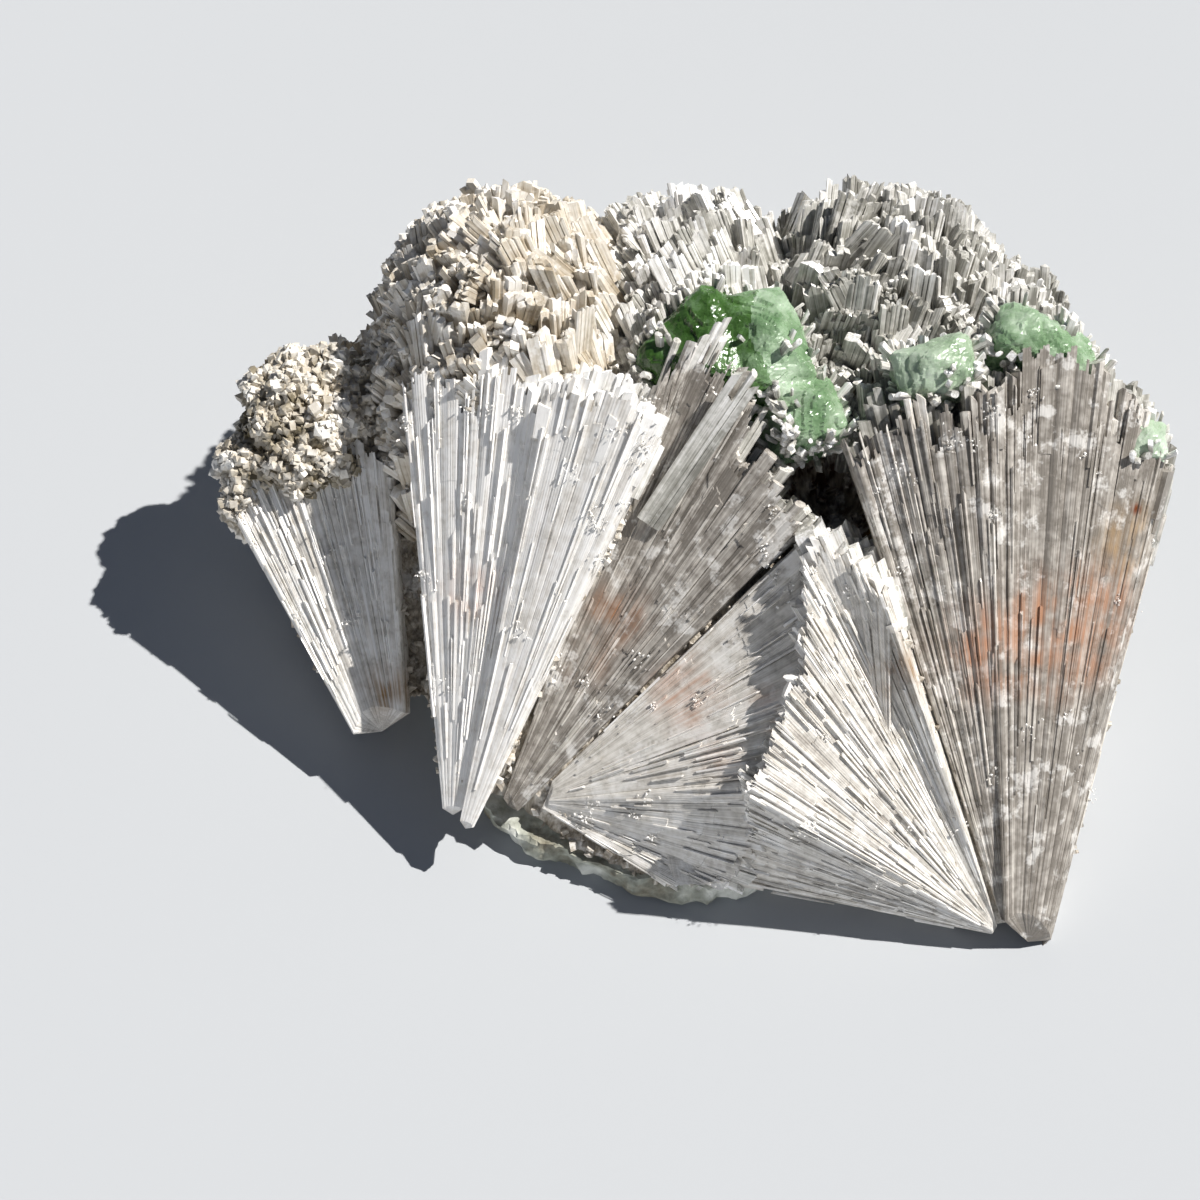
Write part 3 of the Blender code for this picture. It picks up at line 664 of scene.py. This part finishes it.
def growCrust(heap, core, crust):
    draw = random.Random(crust["seed"])
    focus = Vector(crust["focus"])
    lean = Vector(crust["lean"])
    sweep = Vector(crust["sweep"]).normalized()
    golden = math.pi * (3 - math.sqrt(5))   # turns the blades round evenly, like seeds on a sunflower
    apart = (Vector((0, 0, 0)), Vector((50, 0, 0)), Vector((0, 50, 0)))   # far apart in the noise
    for i in range(crust["blocks"]):
        up = 1 - (1 - crust["floor"]) * (i + 0.5) / crust["blocks"]
        flat = math.sqrt(1 - up * up)
        angle = i * golden + draw.uniform(-0.06, 0.06)
        way = Vector((flat * math.cos(angle), flat * math.sin(angle), up + draw.uniform(-0.02, 0.02)))
        end = focus + crustPoint(crust, way) + lean
        if end.y < focus.y + crust["front"] or end.z < 4.5:
            continue
        unit = (end - focus).normalized()
        stray = Vector([noise.noise(end / 8 + shift) for shift in apart])
        jitter = anyWay(draw) * 0.1
        axis = unit * (1 - crust["swept"]) + sweep * crust["swept"] + stray * crust["stray"] * 2 + jitter
        axis.normalize()
        if axis.dot(unit) < 0.35:
            axis = (axis + unit * (0.35 - axis.dot(unit))).normalized()
        # terrace lifts a blade and lightens its tone together, so the lower blades are painted darker, a
        # painted shade
        terrace = noise.noise(end / 6 + Vector((9, 9, 9)))
        rise = draw.uniform(*crust["free"]) + terrace * 2.0
        wide = draw.uniform(*crust["block"])
        side = axis.cross(Vector((0.15, -0.5, 0.85)))
        turn = Matrix.Rotation(draw.uniform(-0.35, 0.35) + 1.6 * noise.noise(end / 12), 3, axis)
        addBlade(heap, end + unit * rise * 0.6 + axis * 1.5, axis, turn @ side, wide,
                 wide * draw.uniform(*crust["deep"]), draw.uniform(*crust["prism"]), crust["long"] + rise,
                 crust["tone"] + terrace * 0.2 + draw.uniform(-1, 1) * crust["spread"], draw)
        if i % 6 == 0:
            addChips(heap, end - unit * 1.5, 2.6, unit, crust["crumbs"] * 6 // crust["blocks"],
                     (0.4, 1.3), crust["tone"] + 0.1, draw)
    # the body under the blades
    corners = []
    for i in range(80):
        up = 1 - 1.15 * (i + 0.5) / 80
        flat = math.sqrt(1 - up * up)
        way = Vector((flat * math.cos(i * golden), flat * math.sin(i * golden), up))
        corners.append(focus + crustPoint(crust, way) * 0.87)
    core.append(corners)


def applyModifiers(piece):
    graph = bpy.context.evaluated_depsgraph_get()
    mesh = bpy.data.meshes.new_from_object(piece.evaluated_get(graph))
    piece.modifiers.clear()
    piece.data = mesh


def scatterGrains(heap, places, count, size, lean, draw):
    # tiny crystals that stand on a surface; places: point, normal and tone
    for _ in range(count):
        spot, up, tone = draw.choice(places)
        axis = (up + anyWay(draw) * lean).normalized()
        big = draw.uniform(*size)
        # each grain is painted lighter towards its tip, partly painted light, over the tone of the surface at
        # its foot
        addPrism(heap, spot - axis * 0.4, spot + axis * big * draw.uniform(0.4, 1.1), axis.orthogonal(), big,
                 big * draw.uniform(0.5, 1.0), taper=draw.uniform(0.8, 1.2), roll=draw.uniform(0, 3),
                 cap=draw.choice((0, 0.15, 0.3)) * big,
                 slant=(draw.uniform(-0.2, 0.2) * big, draw.uniform(-0.2, 0.2) * big),
                 tone=tone, tipTone=tone + draw.uniform(0.0, 0.35), offset=draw.uniform(0, 90))


# the hollow between the fans and the crown: where the body is dented, how wide and how deep
hollow = dict(at=(20.5, -3.5, 41.0), radius=11.0, depth=11.0)


def growBody(hulls):
    # the compact scolecite inside the sprays: convex bodies joined by remeshing, then roughened
    bm = bmesh.new()
    for corners in hulls:
        verts = [bm.verts.new(Vector((c.x, c.y, max(c.z, 1.0))) * mm) for c in corners]
        made = bmesh.ops.convex_hull(bm, input=verts)
        spare = {e for e in made["geom_interior"] + made["geom_unused"] if isinstance(e, bmesh.types.BMVert)}
        bmesh.ops.delete(bm, geom=list(spare), context="VERTS")
    mesh = bpy.data.meshes.new("body_cage")
    bm.to_mesh(mesh)
    bm.free()
    cage = bpy.data.objects.new("body_cage", mesh)
    bpy.context.scene.collection.objects.link(cage)
    remesh = cage.modifiers.new("join", "REMESH")
    remesh.mode = "VOXEL"
    remesh.voxel_size = 1.4 * mm
    applyModifiers(cage)
    dent = Vector(hollow["at"])
    inwards = Vector((0.05, 0.45, -0.9))
    heap = newHeap()
    for v in cage.data.vertices:
        spot = v.co / mm + v.normal * noise.noise(v.co * 380) * 0.7
        far = (spot - dent).length / hollow["radius"]
        if far < 1:
            spot += inwards * hollow["depth"] * (1 - far * far) ** 2
        heap["points"].append(spot)
        heap["fibre"].append((spot.x, spot.y, spot.z * 0.4))
        heap["tone"].append(0.4 + noise.noise(v.co * 200) * 0.3)
    heap["faces"] += [tuple(p.vertices) for p in cage.data.polygons]
    places = [(heap["points"][v.index], v.normal.copy(), heap["tone"][v.index])
              for v in cage.data.vertices if v.co.z > 3 * mm]
    bpy.data.objects.remove(cage, do_unlink=True)
    scatterGrains(heap, places, 4600, (0.4, 1.4), 0.6, random.Random(61))
    addPiece("scolecite_body", heap, bodyScolecite, "scolecite", "scolecite")


# the compact scolecite inside the sprays
heart = [(-38, -34, 4), (-20, -40, 4), (36, -55, 3), (46, -58, 2), (55, -53, 4), (60, -20, 4), (62, 30, 6),
         (42, 52, 6), (-38, 50, 6), (-52, 26, 5), (-50, -6, 8), (-44, 8, 36), (-24, 2, 42), (-4, 0, 40),
         (18, -8, 30), (32, 4, 42), (58, 10, 40), (50, 38, 30), (14, 48, 32), (-34, 46, 34)]

# the rounded lower end where the right fans meet
foot = [(33, -54, 1), (38, -57, 1), (45, -58, 1), (52, -57, 1), (57, -53, 2), (58, -48, 5), (51, -52, 6),
        (44, -54, 5), (36, -53, 4)]

# the crystal apron under the middle fan, down to the basalt
apron = [(-31, -37, 2), (-23, -43, 5), (-13, -49, 4.5), (-3, -51.5, 4), (6, -52, 2.5), (-26, -36, 10),
         (-10, -40, 11), (4, -44, 9)]

hulls = [[Vector(c) for c in corners] for corners in (heart, foot, apron)]
fanGroups = {"fans_left": ("left", "second_left", "second_right", "dark_diagonal"),
             "fans_right": ("middle", "lower_right", "right_inner", "right_outer", "right_side")}
for group, names in fanGroups.items():
    faces, loose, tops = newHeap(), newHeap(), newHeap()
    for name in names:
        growFan(faces, loose, tops, hulls, fans[name])
    if group == "fans_left":
        growNeedles(tops)
    addPiece(group, faces, silkyScolecite, "scolecite", "scolecite")
    addPiece(group.replace("fans", "splinters"), loose, silkyScolecite, "scolecite", "scolecite")
    addPiece(group.replace("fans", "crest"), tops, glassyScolecite, "scolecite", "scolecite")

looks = {"frosted": frostedScolecite, "glassy": glassyScolecite}
for name, crust in crusts.items():
    heap = newHeap()
    growCrust(heap, hulls, crust)
    addPiece("crust_" + name, heap, looks[crust["look"]], "scolecite", "scolecite")

growBody(hulls)


# Apophyllite, clear to frosted tetragonal crystals, IOR 1.535. Blocks grown together, as in the solids:
# centre, half widths, cap height, tilt in degrees, and whether the block is deep green or frosted mint.
apophyllites = {
    "apophyllite_large": [
        dict(at=(2, 17.5, 48.5), half=(8.5, 10.5, 8.0), cap=5.0, tilt=(28, -24, 38), look="deep"),
        dict(at=(8, 18, 50.5), half=(6.5, 8.0, 7.5), cap=4.0, tilt=(16, 12, 24), look="mint"),
        dict(at=(15, 7.5, 48), half=(5.4, 5.2, 5.0), cap=3.5, tilt=(12, 20, 20), look="mint"),
    ],
    "apophyllite_inner": [
        dict(at=(36, 11.5, 55), half=(6.4, 4.6, 4.4), cap=2.6, tilt=(10, -8, 12), look="pale"),
    ],
    "apophyllite_outer": [
        dict(at=(52, 16, 54.5), half=(7.6, 4.8, 4.6), cap=2.8, tilt=(-6, 16, -14), look="mint"),
        dict(at=(57, 14, 52.5), half=(4.6, 4.2, 4.0), cap=2.4, tilt=(14, 10, 24), look="mint"),
    ],
    "apophyllite_edge": [dict(at=(69, 6, 44), half=(3.6, 3.2, 3.2), cap=1.8, tilt=(20, 20, 10), look="pale")],
}
# colours from shaded to lit, roughness range, transmission, softness
greens = {
    "deep": (["#24400F", "#4C7038", "#92B288"], (0.06, 0.3), 0.2, 0.15),
    "mint": (["#5E8056", "#86A37E", "#BDD0B8"], (0.15, 0.45), 0.12, 0.2),
    "pale": (["#86A07E", "#A6BA9F", "#CBDAC7"], (0.15, 0.45), 0.12, 0.2),
}
# how uneven the faces are: (size of the waves in mm, height in mm)
etching = [(9.0, 1.2), (3.4, 0.4), (1.2, 0.12)]


def apophylliteMaterial(look):
    codes, rough, seeThrough, soft = greens[look]
    material, tree, shader = newMaterial(f"apophyllite, {look} green")
    coords = addNode(tree, "ShaderNodeTexCoord")
    cloud = addNode(tree, "ShaderNodeTexNoise", values={"Scale": 130.0, "Detail": 5.0, "Roughness": 0.65},
                    links={"Vector": coords.outputs["Object"]})
    veil = addNode(tree, "ShaderNodeTexNoise", values={"Scale": 700.0, "Detail": 4.0, "Roughness": 0.7},
                   links={"Vector": coords.outputs["Object"]})
    colour = addRamp(tree, cloud.outputs["Fac"], [(0.32, codes[0]), (0.48, codes[1]), (0.68, codes[2])])
    tree.links.new(colour, shader.inputs["Base Color"])
    gloss = spread(tree, cloud.outputs["Fac"], 0.35, 0.65, *rough)
    tree.links.new(gloss, shader.inputs["Roughness"])
    bump = addNode(tree, "ShaderNodeBump", values={"Strength": 0.5, "Distance": 0.0003},
                   links={"Height": veil.outputs["Fac"]})
    tree.links.new(bump.outputs["Normal"], shader.inputs["Normal"])
    shader.inputs["IOR"].default_value = 1.535
    shader.inputs["Transmission Weight"].default_value = seeThrough
    shader.inputs["Subsurface Weight"].default_value = soft
    shader.inputs["Subsurface Radius"].default_value = (0.7, 1.0, 0.7)
    shader.inputs["Subsurface Scale"].default_value = 2.0 * mm
    return material


greenMaterials = {look: apophylliteMaterial(look) for look in greens}


def apophylliteBlock(spec):
    bm = bmesh.new()
    bmesh.ops.create_cube(bm, size=2)
    half = [h * mm for h in spec["half"]]
    for v in bm.verts:
        v.co = Vector(v.co[k] * half[k] for k in range(3))
    ends = [f for f in bm.faces if abs(f.normal.z) > 0.9]
    poked = bmesh.ops.poke(bm, faces=ends)
    for v in poked["verts"]:
        v.co.z += math.copysign(spec["cap"] * mm, v.co.z)
    blunt = [e for e in bm.edges if e.calc_face_angle(0) > 1.0]
    bmesh.ops.bevel(bm, geom=blunt, offset=0.16 * half[0], segments=1, affect="EDGES", profile=0.5)
    turn = Matrix.Rotation(math.radians(spec["tilt"][2]), 4, "Z")
    turn = turn @ Matrix.Rotation(math.radians(spec["tilt"][1]), 4, "Y")
    turn = turn @ Matrix.Rotation(math.radians(spec["tilt"][0]), 4, "X")
    bm.transform(Matrix.Translation(Vector(spec["at"]) * mm) @ turn)
    bmesh.ops.recalc_face_normals(bm, faces=bm.faces[:])
    return bm


def overgrow(heap, spots, count, draw):
    # stubby scolecite that has grown on the flanks of a green crystal, in patches
    patches = [(spot, up) for spot, up in spots
               if noise.noise(spot / 4) + (0.3 if up.z < 0.35 else 0.0) - 0.5 * max(0.0, up.z) > 0.02]
    for _ in range(count if patches else 0):
        spot, up = draw.choice(patches)
        lean = Vector((draw.uniform(-0.6, 0.3), draw.uniform(0.0, 0.7), draw.uniform(0.4, 1.2)))
        axis = (up + lean).normalized()
        size = draw.uniform(0.5, 1.3)
        # painted darker at the foot, as painted shade against the green crystal, and lighter at the tip, as
        # painted light
        addPrism(heap, spot - axis * 0.8, spot + axis * draw.uniform(0.4, 2.6), axis.orthogonal(), size,
                 size * draw.uniform(0.6, 1.2), taper=0.9, roll=draw.uniform(0, 3),
                 section=draw.choice((squareSection, bluntSection)), cap=draw.choice((0, 0.2, 0.4)),
                 slant=(draw.uniform(-0.3, 0.3), draw.uniform(-0.3, 0.3)),
                 tone=draw.uniform(0.1, 0.5), tipTone=draw.uniform(0.5, 1.0), offset=draw.uniform(0, 90))


growths = newHeap()
for name, blocks in apophyllites.items():
    joined = None
    for spec in blocks:
        bm = apophylliteBlock(spec)
        mesh = bpy.data.meshes.new(name)
        bm.to_mesh(mesh)
        bm.free()
        block = bpy.data.objects.new(name + "_block", mesh)
        bpy.context.scene.collection.objects.link(block)
        if joined is None:
            joined = block
            continue
        union = joined.modifiers.new("grow together", "BOOLEAN")
        union.operation = "UNION"
        union.object = block
        applyModifiers(joined)
        bpy.data.objects.remove(block, do_unlink=True)
    remesh = joined.modifiers.new("even mesh", "REMESH")
    remesh.mode = "VOXEL"
    remesh.voxel_size = 0.45 * mm
    applyModifiers(joined)
    mesh = joined.data
    normals = [v.normal.copy() for v in mesh.vertices]
    for v, normal in zip(mesh.vertices, normals):
        # growth steps: the noise is cut into flat treads
        for wave, height in etching:
            swell = noise.noise(v.co / (wave * mm))
            v.co += normal * round(swell * 4) / 4 * height * mm
    spots = [(v.co / mm, normal) for v, normal in zip(mesh.vertices, normals)]
    overgrow(growths, spots, len(spots) // 22, random.Random(len(spots)))
    mesh.materials.clear()
    lookOrder = sorted({spec["look"] for spec in blocks})
    for look in lookOrder:
        mesh.materials.append(greenMaterials[look])
    for face in mesh.polygons:
        spot = face.center / mm
        nearest = min(blocks, key=lambda spec: (spot - Vector(spec["at"])).length / max(spec["half"]))
        face.material_index = lookOrder.index(nearest["look"])
    joined.name = name + "_crystal"
    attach(joined, "root")
    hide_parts(name)
    print(f"scene: {joined.name}, {len(mesh.polygons) * 2} triangles")
addPiece("crystals_on_apophyllite", growths, glassyScolecite, "scolecite", "scolecite")


# The drusy knob: lumps set with tiny crystals
knob = {"lumps": [((-63, 19, 30), (11.5, 10, 8.5)), ((-70, 14, 27.5), (6.5, 6, 5.5)),
                  ((-56, 23, 32), (7, 7, 6.5)), ((-62, 12, 30), (8, 5.5, 6)), ((-66, 25, 31), (7.5, 6, 6)),
                  ((-74, 9, 23), (3, 4.5, 4.5)), ((-60, 25, 35), (5, 4.5, 4))],
        "grains": 5200, "grain": (0.4, 1.5), "seed": 31}


def drusyMaterial():
    # a crust of tiny crystals of another zeolite: sugary, darker tan where the surface dips and creamy where
    # it swells and on the tips
    material, tree, shader = newMaterial("druse, sugary tan crust")
    tone = addNode(tree, "ShaderNodeAttribute", {"attribute_name": "tone"})
    coords = addNode(tree, "ShaderNodeTexCoord")
    cloud = addNode(tree, "ShaderNodeTexNoise", values={"Scale": 230.0, "Detail": 5.0, "Roughness": 0.65},
                    links={"Vector": coords.outputs["Object"]})
    shift = spread(tree, cloud.outputs["Fac"], 0.3, 0.7, -0.4, 0.4)
    whole = addNode(tree, "ShaderNodeMath", {"use_clamp": True}, links={0: tone.outputs["Fac"], 1: shift})
    colour = addRamp(tree, whole.outputs["Value"],
                     [(0.0, "#756B54"), (0.3, "#A59B87"), (0.6, "#D0C8BA"), (1.0, "#F7F4ED")])
    tree.links.new(colour, shader.inputs["Base Color"])
    shader.inputs["Roughness"].default_value = 0.3
    shader.inputs["IOR"].default_value = 1.5
    return material


def growKnob():
    bm = bmesh.new()
    for at, reach in knob["lumps"]:
        made = bmesh.ops.create_icosphere(bm, subdivisions=4, radius=1)
        for v in made["verts"]:
            v.co = (Vector(at) + Vector(v.co[k] * reach[k] for k in range(3))) * mm
    mesh = bpy.data.meshes.new("knob")
    bm.to_mesh(mesh)
    bm.free()
    body = bpy.data.objects.new("knob", mesh)
    bpy.context.scene.collection.objects.link(body)
    remesh = body.modifiers.new("join", "REMESH")
    remesh.mode = "VOXEL"
    remesh.voxel_size = 0.6 * mm
    applyModifiers(body)
    heap = newHeap()
    for v in body.data.vertices:
        lump = noise.noise(v.co * 200) * 2.2 + noise.noise(v.co * 520) * 0.9
        heap["points"].append((v.co + v.normal * lump * mm) / mm)
        heap["fibre"].append(tuple(v.co / mm))
        # the tone follows the lumps: darker where the surface dips, lighter where it swells
        heap["tone"].append(0.35 + lump * 0.25)
    heap["faces"] += [tuple(p.vertices) for p in body.data.polygons]
    places = [(Vector(heap["points"][v.index]), v.normal.copy(), heap["tone"][v.index])
              for v in body.data.vertices]
    bpy.data.objects.remove(body, do_unlink=True)
    scatterGrains(heap, places, knob["grains"], knob["grain"], 0.55, random.Random(knob["seed"]))
    addPiece("drusy_crust", heap, drusyMaterial(), "druse", "drusy_knob")


growKnob()


# The basalt skin, with the outline of the solid, its edge eaten and its top hidden under the fans
rock = {"outline": [(-35, -37), (-26, -44), (-13, -50), (1, -53), (12, -50), (30, -51), (48, -46), (60, -20),
                    (58, 22), (44, 46), (8, 54), (-30, 50), (-50, 24), (-46, -8)],
        "top": 4.5, "step": 1.1}


def basaltMaterial():
    # amygdaloidal basalt: dull, fine grained, coated green by celadonite and brown by iron
    material, tree, shader = newMaterial("basalt, green and brown coated")
    coords = addNode(tree, "ShaderNodeTexCoord")
    place = coords.outputs["Object"]
    grain = addNode(tree, "ShaderNodeTexNoise", values={"Scale": 900.0, "Detail": 5.0},
                    links={"Vector": place})
    patch = addNode(tree, "ShaderNodeTexNoise", values={"Scale": 150.0, "Detail": 4.0},
                    links={"Vector": place})
    stone = addRamp(tree, grain.outputs["Fac"], [(0.3, "#4A4A42"), (0.5, "#7C7C70"), (0.75, "#ACAB9C")])
    coat = addRamp(tree, patch.outputs["Fac"], [(0.3, "#9C8A6C"), (0.46, "#C2C6B8"), (0.58, "#E4E6DE")])
    mask = spread(tree, patch.outputs["Fac"], 0.42, 0.6, 0.35, 0.9)
    mix = addNode(tree, "ShaderNodeMix", {"data_type": "RGBA"}, links={0: mask, 6: stone, 7: coat})
    tree.links.new(mix.outputs[2], shader.inputs["Base Color"])
    bump = addNode(tree, "ShaderNodeBump", values={"Strength": 0.6, "Distance": 0.0005},
                   links={"Height": grain.outputs["Fac"]})
    tree.links.new(bump.outputs["Normal"], shader.inputs["Normal"])
    shader.inputs["Roughness"].default_value = 0.85
    return material


def growRock():
    outline = [Vector((x, y, 0)) for x, y in rock["outline"]]
    bm = bmesh.new()
    lower = [bm.verts.new(p * mm) for p in outline]
    bm.faces.new(lower[::-1])
    made = bmesh.ops.extrude_face_region(bm, geom=bm.faces[:])
    for v in made["geom"]:
        if isinstance(v, bmesh.types.BMVert):
            v.co.z = rock["top"] * mm
    bmesh.ops.recalc_face_normals(bm, faces=bm.faces[:])
    mesh = bpy.data.meshes.new("basalt_skin")
    bm.to_mesh(mesh)
    bm.free()
    piece = bpy.data.objects.new("basalt_skin", mesh)
    bpy.context.scene.collection.objects.link(piece)
    remesh = piece.modifiers.new("even mesh", "REMESH")
    remesh.mode = "VOXEL"
    remesh.voxel_size = rock["step"] * mm
    applyModifiers(piece)
    normals = [v.normal.copy() for v in piece.data.vertices]
    for v, normal in zip(piece.data.vertices, normals):
        flat = Vector((normal.x, normal.y, 0))
        ragged = noise.noise(v.co * 150) * 2.4 + noise.noise(v.co * 420) * 1.1
        v.co += flat * ragged * mm
        if v.co.z > 0.6 * mm:
            v.co.z += noise.noise(v.co * 300) * 0.8 * mm
        v.co.z = max(v.co.z, 0.0) if v.co.z > 0.4 * mm else 0.0
    piece.data.materials.clear()
    piece.data.materials.append(basaltMaterial())
    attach(piece, "root")
    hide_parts("basalt_matrix")
    print(f"scene: basalt, {len(piece.data.polygons) * 2} triangles")


growRock()


def makeFloor():
    material, tree, shader = newMaterial("matte paper floor")
    coords = addNode(tree, "ShaderNodeTexCoord")
    faint = addNode(tree, "ShaderNodeTexNoise", values={"Scale": 3.0, "Detail": 2.0},
                    links={"Vector": coords.outputs["Object"]})
    colour = addRamp(tree, faint.outputs["Fac"], [(0.0, light["floor"]), (1.0, light["floor"])])
    tree.links.new(colour, shader.inputs["Base Color"])
    shader.inputs["Roughness"].default_value = 0.9
    shader.inputs["Specular IOR Level"].default_value = 0.1
    bpy.ops.mesh.primitive_plane_add(size=12)
    floor = bpy.context.object
    floor.name = "floor"
    floor.data.materials.append(material)


def makeLight():
    sun = bpy.data.lights.new("sun", "SUN")
    sun.energy = light["sun"]
    sun.angle = math.radians(light["sun spread"])
    sun.color = hexColour(light["sun colour"])[:3]
    lamp = bpy.data.objects.new("sun", sun)
    lamp.rotation_euler = Vector(light["towards sun"]).to_track_quat("Z", "Y").to_euler()
    bpy.context.scene.collection.objects.link(lamp)
    # a low white card in front, for the light that the clear crystals carry to their broken faces
    card = bpy.data.lights.new("card", "AREA")
    card.shape = "RECTANGLE"
    card.size, card.size_y = 1.6, 0.4
    card.energy = light["card"]
    stand = bpy.data.objects.new("card", card)
    stand.location = (-0.3, -1.5, 0.22)
    stand.rotation_euler = stand.location.to_track_quat("Z", "Y").to_euler()
    stand.visible_camera = False
    bpy.context.scene.collection.objects.link(stand)
    # a dim sky, with pale walls low round the table
    world = bpy.data.worlds.new("studio")
    world.use_nodes = True
    tree = world.node_tree
    backdrop = tree.nodes["Background"]
    coords = addNode(tree, "ShaderNodeTexCoord")
    parts = addNode(tree, "ShaderNodeSeparateXYZ", links={0: coords.outputs["Generated"]})
    walls = addNode(tree, "ShaderNodeMapRange", {"interpolation_type": "SMOOTHSTEP"},
                    {"From Min": 0.5, "From Max": 0.05, "To Min": 0.0, "To Max": 1.0},
                    {"Value": parts.outputs["Z"]})
    mix = addNode(tree, "ShaderNodeMix", {"data_type": "RGBA"}, links={0: walls.outputs["Result"]})
    mix.inputs[6].default_value = [c * light["sky"] for c in hexColour(light["sky colour"])]
    mix.inputs[7].default_value = [c * light["horizon"] for c in hexColour(light["horizon colour"])]
    tree.links.new(mix.outputs[2], backdrop.inputs["Color"])
    bpy.context.scene.world = world


def makeCamera():
    camera = bpy.data.cameras.new("camera")
    camera.lens = view["lens"]
    camera.sensor_width = view["sensor"]
    tall = math.radians(view["height angle"])
    away = Vector((0, -math.cos(tall), math.sin(tall)))
    stand = bpy.data.objects.new("camera", camera)
    stand.location = Vector(view["aim"]) + away * view["distance"]
    stand.rotation_euler = away.to_track_quat("Z", "Y").to_euler()
    bpy.context.scene.collection.objects.link(stand)
    bpy.context.scene.camera = stand


makeFloor()
makeLight()
makeCamera()
bpy.context.scene.view_settings.view_transform = "Standard"
print("scene: floor, light and camera set")
